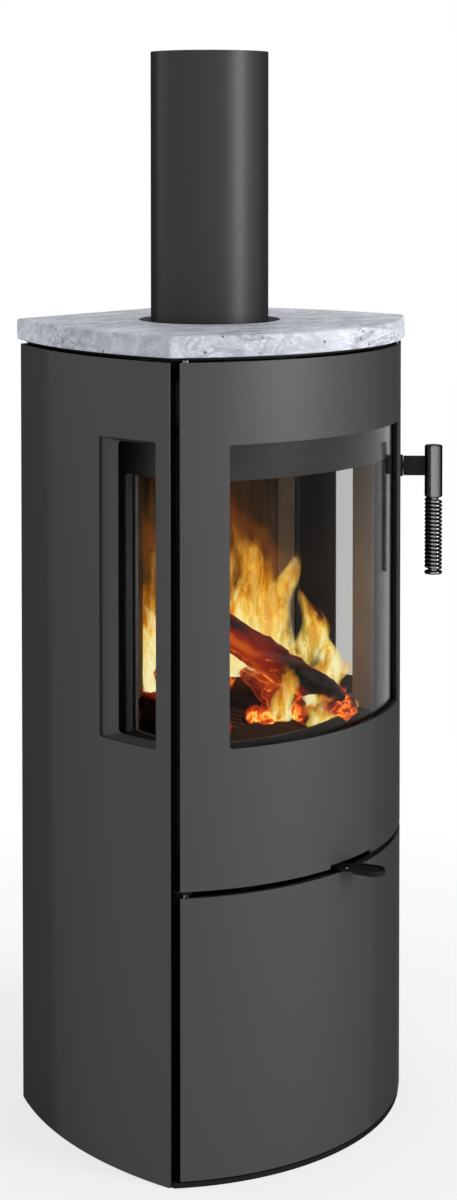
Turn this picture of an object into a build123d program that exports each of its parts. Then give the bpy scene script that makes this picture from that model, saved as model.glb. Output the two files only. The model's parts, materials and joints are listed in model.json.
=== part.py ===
from build123d import *

import os
from math import atan, cos, pi, radians, sin, sqrt

# Stone-clad wood stove with a curved glazed door, two side windows, a lower store and a flue pipe.
# Millimetres. X runs to the right, Y to the back and Z up. The origin is on the floor under the flue.
# Angles round the front are measured at the centre of the front arc: 0 is straight ahead, plus is right.

os.makedirs("parts", exist_ok=True)

# Plan of the casing: one wide arc in front, one long arc on each side and a straight back
FRONT_RADIUS = 323.5
FRONT_CENTRE_Y = 99.7
SIDE_RADIUS = 506.9
SIDE_CENTRE_X = 281.76
SIDE_CENTRE_Y = -72.9
BACK_Y = 187.3
SHEET = 3.0
LINER_SHEET = 2.0

# Heights of the casing
BASE_THICK = 6.0
PANEL_TOP = 978.0
TOP_PLATE_LOW = 980.0
STONE_LOW = 984.0
STONE_HIGH = 1010.0
STONE_OVERHANG = 5.0
PANEL_FRONT_Y = -133.0

# Flue
FLUE_RADIUS = 75.0
FLUE_WALL = 2.0
FLUE_TOP = 1350.0
FLUE_FOOT = 989.0
COLLAR_INSIDE = 69.0
COLLAR_FIT = 0.3
STONE_HOLE_RADIUS = 90.0
ROSETTE_INSIDE = 76.0

# Doors
DOOR_HALF_ANGLE = 41.3
UPPER_LOW = 354.0
UPPER_HIGH = 978.0
LOWER_LOW = 8.0
LOWER_HIGH = 346.0
SKIN_INSIDE = FRONT_RADIUS - SHEET
FLANGE_DEPTH = 12.0
FLANGE_SETBACK = 3.0
NOTCH_LEFT = -5.3
NOTCH_RIGHT = 9.5
NOTCH_HEIGHT = 4.5

# Front glass and the cast frame behind it
GLASS_HALF_ANGLE = 30.7
GLASS_LOW = 520.0
GLASS_HIGH = 880.0
PANE_INSIDE = 312.0
PANE_THICK = 4.5
PANE_PLAY = 0.3
PANE_HALF_ANGLE = 33.2
PANE_LOW = 503.0
PANE_HIGH = 902.0
FRAME_INSIDE = 296.0
FRAME_HALF_ANGLE = 36.0
FRAME_LOW = 382.0
FRAME_HIGH = 932.0
VIEW_HALF_ANGLE = 32.2
VIEW_LOW = 508.0
VIEW_HIGH = 836.0
ROPE_WIDTH = 10.0
ROPE_DEPTH = 5.0
ROPE_MARGIN = 3.0
ROPE_GAP = 0.4

# Firebox: the side walls draw in towards the back
FIREBOX_HALF = 172.0
FIREBOX_FRONT_Y = -138.0
FIREBOX_SLOPE = 0.1906
FIREBOX_BACK_Y = 126.0
FIREBOX_PLATE = 4.0
FIREBOX_LOW = 361.0
FIREBOX_HIGH = 950.0
FIREBOX_FRONT_RADIUS = 290.0
MOUTH_HALF_ANGLE = 33.2
MOUTH_HIGH = 905.0
ASH_FLOOR = 400.0
HEARTH_FLOOR = 478.0
BRICK_TOP = 498.0
LINING_TOP = 878.0
BAFFLE_TOP = 898.0
DEFLECTOR_LOW = 921.0

# Side windows
WINDOW_FRONT_Y = -103.0
WINDOW_BACK_Y = -16.0
WINDOW_LOW = 513.0
WINDOW_HIGH = 832.0
WINDOW_RIM = 14.0
WINDOW_LAP = 8.0
WINDOW_FRAME_DEPTH = 20.0
WINDOW_FRAME_TOP = 890.0
CUTOUT_FRONT_Y = -113.8
CUTOUT_BACK_Y = -20.0
CUTOUT_LOW = 520.0
CUTOUT_HIGH = 884.0
CUTOUT_CORNER = 4.0

# Hinge line, shared by both doors
HINGE_X = -197.0
HINGE_Y = -137.0
PIN_RADIUS = 5.0
RUNNING_FIT = 0.05
BRACKET_LOW = 348.0
BRACKET_HIGH = 352.0

# Handle: a shaft square to the door near its free edge, a flat arm and a hanging bar with a spring grip
HANDLE_ANGLE = 38.0
HANDLE_HEIGHT = 815.6
ARM_REACH = 42.7
ARM_HEIGHT = 24.7
ARM_THICK = 8.0
SHAFT_RADIUS = 5.0
BAR_RADIUS = 11.6
BAR_ABOVE = 27.0
BAR_BELOW = 141.0
SLEEVE_BELOW = 40.4
ROD_RADIUS = 7.0
WIRE = 4.4
COIL_TURNS = 18
COIL_CLEARANCE = 0.1
COIL_END_GAP = 0.6
KNOB_HEIGHT = 4.0

# Air lever
LEVER_PIVOT_X = -40.0
LEVER_PIVOT_Y = -70.0
LEVER_ANGLE = 14.65
LEVER_LENGTH = 208.8
LEVER_LOW = 348.5
LEVER_THICK = 3.0
LEVER_WIDTH = 16.0
PADDLE_LONG = 56.0
PADDLE_WIDE = 27.0
PADDLE_RIM = 2.5
PADDLE_RIM_REACH = 36.0
PADDLE_LOW = 346.8
PADDLE_HIGH = 353.2
SHELF_LOW = 358.0
SHELF_HIGH = 361.0

# Ash pan
PAN_HALF_WIDTH = 106.0
PAN_FRONT_Y = -163.0
PAN_BACK_Y = 55.0
PAN_LOW = 401.0
PAN_HIGH = 448.0

# Air inlet at the rear
INLET_HEIGHT = 120.0
INLET_RADIUS = 50.0
INLET_WALL = 2.0
INLET_END_Y = 214.0

FRONT_CENTRE = (0, FRONT_CENTRE_Y)
WALL_TILT = atan(FIREBOX_SLOPE)


def save(name, shape):
    """Write one piece under its own name."""
    export_step(shape, f"parts/{name}.step")
    return shape


def at(angle, radius):
    """Plan point at an angle and a radius from the front arc's centre."""
    return (radius * sin(radians(angle)), FRONT_CENTRE_Y - radius * cos(radians(angle)))


def block(x0, x1, y0, y1, z0, z1):
    """Straight block between two corners."""
    middle = Pos((x0 + x1) / 2, (y0 + y1) / 2, (z0 + z1) / 2)
    return middle * Box(x1 - x0, y1 - y0, z1 - z0)


def upright(face, low, high):
    """Plan face drawn up between two heights."""
    return extrude(Pos(0, 0, low) * face, amount=high - low)


def tube(x, y, inside, outside, low, high):
    """Upright ring or, with no inside, an upright disc."""
    face = Circle(outside) if inside == 0 else Circle(outside) - Circle(inside)
    return upright(Pos(x, y) * face, low, high)


def bent(inside, outside, left, right, low, high, corner=0):
    """Block bent round the front arc's centre, with its radial corners rounded if asked."""
    arcs = [CenterArc(FRONT_CENTRE, r, left - 90, right - left) for r in (inside, outside)]
    ends = [Line(at(a, inside), at(a, outside)) for a in (left, right)]
    shape = upright(make_face([*arcs, *ends]), low, high)
    if corner:
        radial = shape.edges().filter_by(GeomType.LINE).filter_by(Axis.Z, reverse=True)
        shape = fillet(radial, corner)
    return shape


def plan(front=0.0, side=0.0, back=0.0):
    """Plan of the casing, drawn in from its front arc, its side arcs and its back."""
    face = Pos(*FRONT_CENTRE) * Circle(FRONT_RADIUS - front)
    for x in (-SIDE_CENTRE_X, SIDE_CENTRE_X):
        face &= Pos(x, SIDE_CENTRE_Y) * Circle(SIDE_RADIUS - side)
    depth = 2 * SIDE_RADIUS
    return face & (Pos(0, BACK_Y - back - depth / 2) * Rectangle(depth, depth))


def chamber(grow, front_radius):
    """Plan of the firebox's inside, grown by a wall, as far forward as a radius of the front arc."""
    front_y = FRONT_CENTRE_Y - front_radius
    back_y = FIREBOX_BACK_Y + grow

    def half_width(y):
        return FIREBOX_HALF - FIREBOX_SLOPE * (y - FIREBOX_FRONT_Y) + grow / cos(WALL_TILT)

    corners = [
        (-half_width(front_y), front_y),
        (half_width(front_y), front_y),
        (half_width(back_y), back_y),
        (-half_width(back_y), back_y),
    ]
    return make_face(Polyline(*corners, close=True)) & (Pos(*FRONT_CENTRE) * Circle(front_radius))


def ahead_of(y):
    """Half space in front of a plane across the stove, for trimming."""
    return block(-400, 400, y - 800, y, -10, 1400)


def both_sides(piece):
    """The piece on the right and its mirror image on the left, as two solids."""
    return Compound(children=[piece, mirror(piece, about=Plane.YZ)])


# Local frame on the inside of the right wall: x along the wall to the back, y up and z outwards
wall = Plane(
    origin=(FIREBOX_HALF, FIREBOX_FRONT_Y, 0),
    x_dir=(-FIREBOX_SLOPE, 1, 0),
    z_dir=(1, FIREBOX_SLOPE, 0),
)


def along_wall(y):
    """Distance along the firebox wall from its front line to a depth."""
    return (y - FIREBOX_FRONT_Y) / cos(WALL_TILT)


def wall_plate(grow, low_depth, high_depth, corner=3.0, top=0.0):
    """Plate parallel to the right wall, larger than the window all round by grow, or up to a stated top."""
    start = along_wall(WINDOW_FRONT_Y) - grow
    end = along_wall(WINDOW_BACK_Y) + grow
    low = WINDOW_LOW - grow
    high = top or WINDOW_HIGH + grow
    face = Pos((start + end) / 2, (low + high) / 2) * RectangleRounded(end - start, high - low, corner)
    return wall * extrude(Pos(0, 0, low_depth) * face, amount=high_depth - low_depth)


# Casing


def make_side_panel():
    """Right side panel: one sheet on the side arc, a window cut-out and a turned-in rear edge."""
    strip = plan() - plan(side=SHEET)
    sheet = upright(strip, 0, PANEL_TOP) & block(0, 400, PANEL_FRONT_Y, BACK_Y, 0, PANEL_TOP)
    width = CUTOUT_BACK_Y - CUTOUT_FRONT_Y
    height = CUTOUT_HIGH - CUTOUT_LOW
    cutout = Plane.YZ * Pos(CUTOUT_FRONT_Y + width / 2, CUTOUT_LOW + height / 2)
    cutout *= RectangleRounded(width, height, CUTOUT_CORNER)
    sheet -= extrude(cutout, amount=300)
    turned = block(132, 151.8, BACK_Y - 2 * SHEET, BACK_Y - SHEET, BASE_THICK, PANEL_TOP)
    return sheet + turned


def make_base_plate():
    """Floor plate between the side panels, with a seat for the bottom hinge pin."""
    plate = upright(plan(front=1, side=SHEET, back=SHEET), 0, BASE_THICK)
    return plate - tube(HINGE_X, HINGE_Y, 0, PIN_RADIUS, 0, BASE_THICK)


def slot_rows(low, rows, half_count):
    """Rows of level slots through the back of the casing."""
    slot = Plane.XZ * SlotOverall(62, 8)
    cutters = []
    for row in range(rows):
        for column in range(-half_count, half_count + 1):
            cutters.append(Pos(column * 84, BACK_Y + 5, low + row * 18) * extrude(slot, amount=20))
    return cutters


def make_rear_panel():
    """Flat back with convection slots high and low and a hole for the air inlet."""
    panel = block(-149, 149, BACK_Y - SHEET, BACK_Y, 8, PANEL_TOP)
    for cutter in slot_rows(800, 8, 1) + slot_rows(30, 2, 1):
        panel -= cutter
    return panel - inlet_disc(INLET_RADIUS + 0.3, BACK_Y - 10, BACK_Y + 10)


def inlet_disc(radius, y0, y1):
    """Disc across the air inlet's axis."""
    return Pos(0, y0, INLET_HEIGHT) * extrude(Plane.XZ * Circle(radius), amount=-(y1 - y0))


def make_rear_screws():
    """Pan-head screws that hold the back to the turned-in edges of the side panels."""
    screws = []
    for side in (-1, 1):
        for height in (60, 280, 500, 720, 940):
            head = Pos(side * 140, BACK_Y, height) * extrude(Plane.XZ * Circle(4.5), amount=-2.5)
            screws.append(head)
    return Compound(children=screws)


def make_front_posts():
    """Folded posts behind the gaps beside the doors."""
    face = make_face(
        Polyline((219.4, -116), (191, -116), (191, -109), (194, -109), (194, -113), (219.4, -113), close=True)
    )
    return both_sides(upright(face, BASE_THICK, TOP_PLATE_LOW))


def make_rear_posts():
    """Angle posts in the rear corners."""
    face = make_face(
        Polyline((147, 158), (144, 158), (144, 178.3), (120, 178.3), (120, 181.3), (147, 181.3), close=True)
    )
    return both_sides(upright(face, BASE_THICK, TOP_PLATE_LOW))


def make_top_plate():
    """Plate under the stone, set back so that it shows as a shadow line."""
    plate = upright(plan(6, 6, 6), TOP_PLATE_LOW, STONE_LOW)
    plate -= tube(0, 0, 0, 80, TOP_PLATE_LOW, STONE_LOW)
    return plate - tube(HINGE_X, HINGE_Y, 0, PIN_RADIUS, TOP_PLATE_LOW, STONE_LOW)


def make_stone_top():
    """Stone slab with eased edges and a round hole for the flue."""
    slab = upright(plan(*[-STONE_OVERHANG] * 3), STONE_LOW, STONE_HIGH)
    slab = fillet(slab.edges().filter_by(Axis.Z), 9)
    slab = fillet(slab.edges().group_by(Axis.Z)[-1], 3)
    slab = fillet(slab.edges().group_by(Axis.Z)[0], 2)
    return slab - tube(0, 0, 0, STONE_HOLE_RADIUS, STONE_LOW, STONE_HIGH)


# Flue


def make_flue_collar():
    """Cast collar on the firebox that the pipe slides over and stands on."""
    outside = FLUE_RADIUS - FLUE_WALL - COLLAR_FIT
    collar = tube(0, 0, COLLAR_INSIDE, 95, FIREBOX_HIGH, FIREBOX_HIGH + 6)
    collar += tube(0, 0, COLLAR_INSIDE, outside, FIREBOX_HIGH, FLUE_FOOT + 50)
    return collar + tube(0, 0, COLLAR_INSIDE, 79, FLUE_FOOT - 5, FLUE_FOOT)


def make_flue_rosette():
    """Turned-down ring that closes the gap round the pipe, standing on the top plate."""
    lip = tube(0, 0, ROSETTE_INSIDE, STONE_HOLE_RADIUS - 0.5, 1000, 1003)
    return lip + tube(0, 0, STONE_HOLE_RADIUS - 3.5, STONE_HOLE_RADIUS - 0.5, STONE_LOW, 1000)


# Firebox


def make_firebox_shell():
    """Welded box with an air plenum, an ash level, a hearth level and a curved front land."""
    shell = upright(chamber(FIREBOX_PLATE, FIREBOX_FRONT_RADIUS), FIREBOX_LOW, FIREBOX_HIGH)
    inside_radius = FIREBOX_FRONT_RADIUS - FIREBOX_PLATE
    levels = (
        (FIREBOX_LOW + FIREBOX_PLATE, ASH_FLOOR - FIREBOX_PLATE),
        (ASH_FLOOR, HEARTH_FLOOR - FIREBOX_PLATE),
        (HEARTH_FLOOR, FIREBOX_HIGH - FIREBOX_PLATE),
    )
    for low, high in levels:
        shell -= upright(chamber(0, inside_radius), low, high)
    mouth = (-MOUTH_HALF_ANGLE, MOUTH_HALF_ANGLE)
    shell -= bent(inside_radius - 1, FIREBOX_FRONT_RADIUS + 5, *mouth, ASH_FLOOR, HEARTH_FLOOR - 4)
    shell -= bent(inside_radius - 1, FIREBOX_FRONT_RADIUS + 5, *mouth, HEARTH_FLOOR, MOUTH_HIGH)
    shell -= block(-72, 72, -48, 44, HEARTH_FLOOR - 10, HEARTH_FLOOR + 1)
    shell -= tube(0, 0, 0, COLLAR_INSIDE, FIREBOX_HIGH - 10, FIREBOX_HIGH + 1)
    window = wall_plate(0, -5, 10)
    shell -= window
    shell -= mirror(window, about=Plane.YZ)
    for hole in air_holes(FIREBOX_LOW - 1, FIREBOX_LOW + 6):
        shell -= hole
    ledge = wall * Pos(100, DEFLECTOR_LOW - 1.5, -4) * Box(170, 3, 8)
    return shell + ledge + mirror(ledge, about=Plane.YZ)


def air_holes(low, high, turn=0.0):
    """Five air holes on an arc round the lever's pivot."""
    holes = []
    for step in range(5):
        angle = radians(42 + 24 * step + turn)
        x = LEVER_PIVOT_X + 50 * cos(angle)
        y = LEVER_PIVOT_Y + 50 * sin(angle)
        holes.append(tube(x, y, 0, 7, low, high))
    return holes


def make_back_lining():
    """Fire board against the back wall, with a row of secondary air holes."""
    board = upright(chamber(-1, 280), BRICK_TOP, LINING_TOP) - ahead_of(101)
    for step in range(-4, 5):
        board -= Pos(step * 22, 90, 700) * extrude(Plane.XZ * Circle(3.5), amount=-50)
    return board


def make_side_linings():
    """Fire boards behind the side windows."""
    start = along_wall(6)
    end = along_wall(99.5)
    face = Pos((start + end) / 2, (BRICK_TOP + LINING_TOP) / 2)
    face *= Rectangle(end - start, LINING_TOP - BRICK_TOP)
    return both_sides(wall * extrude(Pos(0, 0, -23) * face, amount=22))


def make_hearth_bricks():
    """Two floor bricks round the grate."""
    bricks = upright(chamber(-1, 284), HEARTH_FLOOR, BRICK_TOP)
    bricks -= block(-83, 83, -61, 57, HEARTH_FLOOR, BRICK_TOP)
    return bricks - block(-0.5, 0.5, -250, 250, HEARTH_FLOOR, BRICK_TOP)


def make_grate():
    """Cast grate with long slots, resting on the hearth plate."""
    grate = block(-81, 81, -59, 55, HEARTH_FLOOR, HEARTH_FLOOR + 12)
    grate = chamfer(grate.edges().group_by(Axis.Z)[-1], 2)
    for step in range(-4, 5):
        slot = Pos(step * 15, -2) * Rot(0, 0, 90) * SlotOverall(82, 7)
        grate -= upright(slot, HEARTH_FLOOR - 1, HEARTH_FLOOR + 13)
    return grate


def make_log_retainer():
    """Low curved kerb that keeps logs and embers off the glass."""
    return bent(262, 266, -27, 27, BRICK_TOP, BRICK_TOP + 14, 4)


def make_baffle_board():
    """Fire board that lies on the linings and turns the smoke forwards."""
    return upright(chamber(-1.5, 280), LINING_TOP, BAFFLE_TOP) - ahead_of(-75)


def make_smoke_deflector():
    """Upper plate that turns the smoke back again, lying on ledges."""
    plate = upright(chamber(-1.5, 280), DEFLECTOR_LOW, DEFLECTOR_LOW + 3)
    return plate & ahead_of(62)


def make_rear_heat_shield():
    """Sheet behind the firebox on four distance studs."""
    shield = block(-118, 118, 148, 149.5, 380, 940)
    for x in (-90, 90):
        for z in (430, 890):
            stud = Pos(x, FIREBOX_BACK_Y + FIREBOX_PLATE, z) * extrude(Plane.XZ * Circle(5), amount=-18)
            shield += stud
    return shield


# Side windows


def make_window_frame():
    """Deep cast frame on the right wall with a pocket for the pane and a wide band above it."""
    frame = wall_plate(WINDOW_RIM, FIREBOX_PLATE, WINDOW_FRAME_DEPTH, 5, WINDOW_FRAME_TOP)
    frame -= wall_plate(WINDOW_LAP + 0.5, FIREBOX_PLATE - 1, 9.5, 3)
    return frame - wall_plate(0, 0, WINDOW_FRAME_DEPTH + 1, 3)


def make_window_seal():
    """Flat seal between the wall and the pane."""
    return wall_plate(WINDOW_LAP, FIREBOX_PLATE, 5.5) - wall_plate(2, 0, 10)


def make_window_screws():
    """Cap screws at the corners of the frame."""
    screws = []
    inset = WINDOW_RIM / 2
    for x in (along_wall(WINDOW_FRONT_Y) - inset, along_wall(WINDOW_BACK_Y) + inset):
        for z in (WINDOW_LOW - inset, WINDOW_FRAME_TOP - inset):
            screws.append(wall * Pos(x, z, WINDOW_FRAME_DEPTH + 1.2) * Cylinder(3.2, 2.4))
    right = Compound(children=screws)
    return Compound(children=[*right.solids(), *mirror(right, about=Plane.YZ).solids()])


# Store, shelf and air ways


def make_divider_shelf():
    """Shelf that carries the firebox and closes the top of the air box."""
    shelf = upright(plan(36, 6, 6), SHELF_LOW, SHELF_HIGH)
    for side in (-1, 1):
        front = sorted((side * 183.5, side * 230))
        rear = sorted((side * 119.5, side * 200))
        shelf -= block(*front, -200, -100.5, SHELF_LOW, SHELF_HIGH)
        shelf -= block(*rear, 157.5, 200, SHELF_LOW, SHELF_HIGH)
    for hole in air_holes(SHELF_LOW - 1, SHELF_HIGH + 1):
        shelf -= hole
    return shelf


def make_log_store_liner():
    """Open-fronted sheet liner of the lower store, standing on the base plate."""
    liner = upright(chamber(4, 288), BASE_THICK, 326)
    return liner - upright(chamber(4 - LINER_SHEET, 330), BASE_THICK + LINER_SHEET, 330)


def make_air_box():
    """Sheet box under the shelf that holds the shutter, with a slot for the lever."""
    outer = block(-112, 92, -148, 150, 328, SHELF_LOW)
    inner = block(-110, 90, -146, 148, 330, SHELF_LOW + 1)
    box = outer - inner
    box -= block(-44, 14, -150, -144, 346, 354)
    return box - block(-50, 50, 140, 152, 334, 354)


def make_air_duct():
    """Flat duct from the inlet up to the air box."""
    duct = block(-60, 60, 152, 178, 60, SHELF_LOW) - block(-58, 58, 154, 176, 62, SHELF_LOW + 1)
    duct -= block(-50, 50, 150, 155, 334, 354)
    return duct - inlet_disc(INLET_RADIUS - 2 * INLET_WALL, 170, 185)


def make_air_inlet():
    """Round stub at the back for an outside air hose."""
    stub = inlet_disc(INLET_RADIUS, 178, INLET_END_Y)
    stub += inlet_disc(62, BACK_Y, BACK_Y + 2)
    return stub - inlet_disc(INLET_RADIUS - INLET_WALL, 170, INLET_END_Y + 5)


# Hinges, striker and catch


def make_hinge_pins():
    """Three pins on one line: in the base plate, in the bracket between the doors and in the top plate."""
    spans = ((0, 40), (310, 394), (944, STONE_LOW))
    return Compound(children=[tube(HINGE_X, HINGE_Y, 0, PIN_RADIUS, *span) for span in spans])


def make_hinge_bracket():
    """Plate from the left post that carries the pin between the doors."""
    ear = Pos(HINGE_X, HINGE_Y) * Circle(9)
    tail = make_face(
        Polyline((HINGE_X - 9, HINGE_Y), (HINGE_X + 9, HINGE_Y), (-186, -116), (-212, -116), close=True)
    )
    plate = upright(ear + tail, BRACKET_LOW, BRACKET_HIGH)
    foot = block(-212, -186, -119, -116, BRACKET_LOW - 16, BRACKET_HIGH + 16)
    return plate + foot - tube(HINGE_X, HINGE_Y, 0, PIN_RADIUS, BRACKET_LOW, BRACKET_HIGH)


def hinge_sleeve(low, high):
    """Bored block on the inside of a door skin."""
    sleeve = bent(300, SKIN_INSIDE, -41.0, -37.6, low, high)
    return sleeve - tube(HINGE_X, HINGE_Y, 0, PIN_RADIUS + RUNNING_FIT, low, high)


# Local frame of the handle: x along the door towards its free edge, y up and z straight out of the door
handle = Plane(
    origin=(*at(HANDLE_ANGLE, FRONT_RADIUS), HANDLE_HEIGHT),
    x_dir=(cos(radians(HANDLE_ANGLE)), sin(radians(HANDLE_ANGLE)), 0),
    z_dir=(sin(radians(HANDLE_ANGLE)), -cos(radians(HANDLE_ANGLE)), 0),
)


def shaft_disc(inside, outside, low, high):
    """Disc or ring across the handle's shaft, by depth from the door's face."""
    face = Circle(outside) if inside == 0 else Circle(outside) - Circle(inside)
    return handle * extrude(Pos(0, 0, low) * face, amount=high - low)


def bar_disc(radius, low, high):
    """Disc across the handle's bar, by height from the shaft."""
    face = Plane(origin=(0, low, ARM_REACH), x_dir=(1, 0, 0), z_dir=(0, 1, 0)) * Circle(radius)
    return handle * extrude(face, amount=high - low)


def make_latch_striker():
    """Hook on the right post that the handle's tongue turns behind."""
    arm = handle * Pos(16.25, 0, -30) * Box(3.5, 16, 26)
    lip = handle * Pos(13, 0, -18.5) * Box(10, 16, 3)
    foot = block(186, 208, -119, -116, HANDLE_HEIGHT - 18, HANDLE_HEIGHT + 18)
    return ((arm + lip) & ahead_of(-116)) + foot


def make_magnet_catch():
    """Magnet block on the right post for the lower door."""
    catch = block(186, 206, -130.6, -116, 286, 314)
    return chamfer(catch.edges().filter_by(Axis.Z), 1.5)


# Upper door


def door_skin(low, high):
    """Curved sheet with a turned-in edge near its top and its bottom."""
    skin = bent(SKIN_INSIDE, FRONT_RADIUS, -DOOR_HALF_ANGLE, DOOR_HALF_ANGLE, low, high)
    for z in (low + FLANGE_SETBACK + 2, high - FLANGE_SETBACK - SHEET):
        skin += bent(SKIN_INSIDE - FLANGE_DEPTH, SKIN_INSIDE, -37, 35, z, z + SHEET)
    return skin


def make_upper_door_skin():
    """Upper door's sheet with the glass opening, the lever's notch and the shaft's hole."""
    skin = door_skin(UPPER_LOW, UPPER_HIGH)
    window = (-GLASS_HALF_ANGLE, GLASS_HALF_ANGLE, GLASS_LOW, GLASS_HIGH)
    skin -= bent(SKIN_INSIDE - 2, FRONT_RADIUS + 2, *window, 4)
    notch = (NOTCH_LEFT, NOTCH_RIGHT, UPPER_LOW - 1, UPPER_LOW + NOTCH_HEIGHT)
    skin -= bent(SKIN_INSIDE - 0.5, FRONT_RADIUS + 2, *notch)
    return skin - shaft_disc(0, SHAFT_RADIUS + 0.3, -6, 3)


def make_inner_frame():
    """Cast frame behind the glass: a rebate for the pane, a rope groove and thinned rails."""
    frame = bent(FRAME_INSIDE, SKIN_INSIDE, -FRAME_HALF_ANGLE, FRAME_HALF_ANGLE, FRAME_LOW, FRAME_HIGH, 6)
    rebate = PANE_HALF_ANGLE + 0.2
    frame -= bent(PANE_INSIDE, SKIN_INSIDE + 1, -rebate, rebate, PANE_LOW - 1, PANE_HIGH + 1)
    view = (-VIEW_HALF_ANGLE, VIEW_HALF_ANGLE, VIEW_LOW, VIEW_HIGH)
    frame -= bent(FRAME_INSIDE - 1, PANE_INSIDE + 1, *view, 6)
    frame -= bent(309, SKIN_INSIDE + 1, -rebate, rebate, 402, 490)
    for low, high in ((404, 488), (852, 904)):
        frame -= bent(FRAME_INSIDE - 1, 306, -31, 31, low, high, 6)
    frame -= rope_ring(FRAME_INSIDE - 1, FRAME_INSIDE + ROPE_DEPTH, 0)
    for angle, height in frame_screw_places():
        frame -= radial_pin(angle, height, 3, 290, SKIN_INSIDE + 1)
    return frame


def rope_ring(inside, outside, shrink):
    """Square ring round the back of the frame where the rope lies."""
    per_degree = radians(1) * FRAME_INSIDE
    outer = FRAME_HALF_ANGLE - (ROPE_MARGIN + shrink) / per_degree
    inner = outer - (ROPE_WIDTH - 2 * shrink) / per_degree
    low = FRAME_LOW + ROPE_MARGIN + shrink
    high = FRAME_HIGH - ROPE_MARGIN - shrink
    width = ROPE_WIDTH - 2 * shrink
    ring = bent(inside, outside, -outer, outer, low, high)
    return ring - bent(inside - 1, outside + 1, -inner, inner, low + width, high - width)


def frame_screw_places():
    """Angle and height of each screw through the frame."""
    return [(angle, height) for height in (446, 910) for angle in (-24, 0, 24)]


def radial_pin(angle, height, radius, start, end):
    """Round pin that points out from the front arc's centre."""
    direction = (sin(radians(angle)), -cos(radians(angle)), 0)
    foot = Plane(origin=(*at(angle, start), height), z_dir=direction)
    return extrude(foot * Circle(radius), amount=end - start)


def make_frame_screws():
    """Screws that hold the frame to the door skin."""
    screws = []
    for angle, height in frame_screw_places():
        seat = 306 if height < VIEW_LOW else FRAME_INSIDE
        head = radial_pin(angle, height, 5.5, seat - 3.5, seat - 0.1)
        screws.append(head + radial_pin(angle, height, 3, seat - 0.5, SKIN_INSIDE - 0.2))
    return Compound(children=screws)


def make_glass_seal():
    """Flat seal between the pane and the skin, which shows as a black edge round the glass."""
    edge = GLASS_HALF_ANGLE + 0.35
    pane = (-PANE_HALF_ANGLE, PANE_HALF_ANGLE, PANE_LOW, PANE_HIGH)
    seal = bent(PANE_INSIDE + PANE_THICK, SKIN_INSIDE, *pane)
    return seal - bent(PANE_INSIDE, FRONT_RADIUS, -edge, edge, GLASS_LOW - 2, GLASS_HIGH + 2, 4)


# Handle


def make_handle_arm():
    """Shaft through the door, round boss and flat arm, hollowed to fit the bar's sleeve."""
    arm = shaft_disc(0, SHAFT_RADIUS, -27, 10) + shaft_disc(0, 4, -33, -26)
    arm += shaft_disc(0, ARM_HEIGHT / 2 - 0.3, 3.6, 8)
    flat = handle * Pos(0, 0, (4 + ARM_REACH) / 2) * Box(ARM_THICK, ARM_HEIGHT, ARM_REACH - 4)
    arm += flat
    return arm - bar_disc(BAR_RADIUS, -60, 60)


def make_grip_sleeve():
    """Smooth upper part of the bar, bored from below for the rod."""
    sleeve = bar_disc(BAR_RADIUS, -SLEEVE_BELOW, BAR_ABOVE)
    rims = sleeve.edges().filter_by(GeomType.CIRCLE)
    sleeve = chamfer(rims, 1.2)
    return sleeve - bar_disc(ROD_RADIUS, -SLEEVE_BELOW - 1, BAR_ABOVE - 12)


def make_grip_rod():
    """Rod through the spring, with a turned knob at its foot."""
    rod = bar_disc(ROD_RADIUS, -BAR_BELOW + 2, BAR_ABOVE - 12)
    knob = bar_disc(BAR_RADIUS, -BAR_BELOW, -BAR_BELOW + KNOB_HEIGHT)
    knob = fillet(knob.edges().filter_by(GeomType.CIRCLE), 1.5)
    return rod + knob


def coil_point(turn, low, pitch, radius):
    """Point of the spring's centre line and its direction, after a number of turns."""
    angle = 2 * pi * turn
    point = Vector(radius * cos(angle), low + pitch * turn, ARM_REACH + radius * sin(angle))
    direction = Vector(-2 * pi * radius * sin(angle), pitch, 2 * pi * radius * cos(angle)).normalized()
    return point, direction


def quarter_biarc(start, start_way, end, end_way):
    """Two arcs that meet smoothly, from one point and direction to another."""
    chord = end - start
    ways = start_way + end_way
    spread = 2 * (1 - start_way.dot(end_way))
    reach = (sqrt(chord.dot(ways) ** 2 + spread * chord.dot(chord)) - chord.dot(ways)) / spread
    middle = (start + start_way * reach + end - end_way * reach) / 2
    first = TangentArc(start, middle, tangent=start_way)
    second = TangentArc(middle, end, tangent=first % 1)
    return [first, second]


def make_grip_spring():
    """Open spring round the rod, one unbroken wire of round section."""
    radius = ROD_RADIUS + COIL_CLEARANCE + WIRE / 2
    low = -BAR_BELOW + KNOB_HEIGHT + WIRE / 2 + COIL_END_GAP
    high = -SLEEVE_BELOW - WIRE / 2 - COIL_END_GAP
    pitch = (high - low) / COIL_TURNS
    points = [coil_point(step / 4, low, pitch, radius) for step in range(4 * COIL_TURNS + 1)]
    path = [Line(points[0][0] - points[0][1] * WIRE, points[0][0])]
    for (start, start_way), (end, end_way) in zip(points, points[1:]):
        path += quarter_biarc(start, start_way, end, end_way)
    path.append(Line(points[-1][0], points[-1][0] + points[-1][1] * WIRE))
    route = Wire(path)
    section = Plane(origin=route @ 0, z_dir=route % 0) * Circle(WIRE / 2)
    print("spring: pitch", round(pitch, 2), "least gap between turns", round(coil_gap(low, pitch, radius), 2))
    return handle * sweep(section, path=route)


def coil_gap(low, pitch, radius):
    """Least free gap between neighbouring turns, measured on points of the centre line."""
    steps = 48
    line = [coil_point(step / steps, low, pitch, radius)[0] for step in range(3 * steps)]
    far = [(a, b) for a in range(steps) for b in range(a + steps // 2, a + 3 * steps // 2)]
    return min((line[a] - line[b]).length for a, b in far) - WIRE


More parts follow.
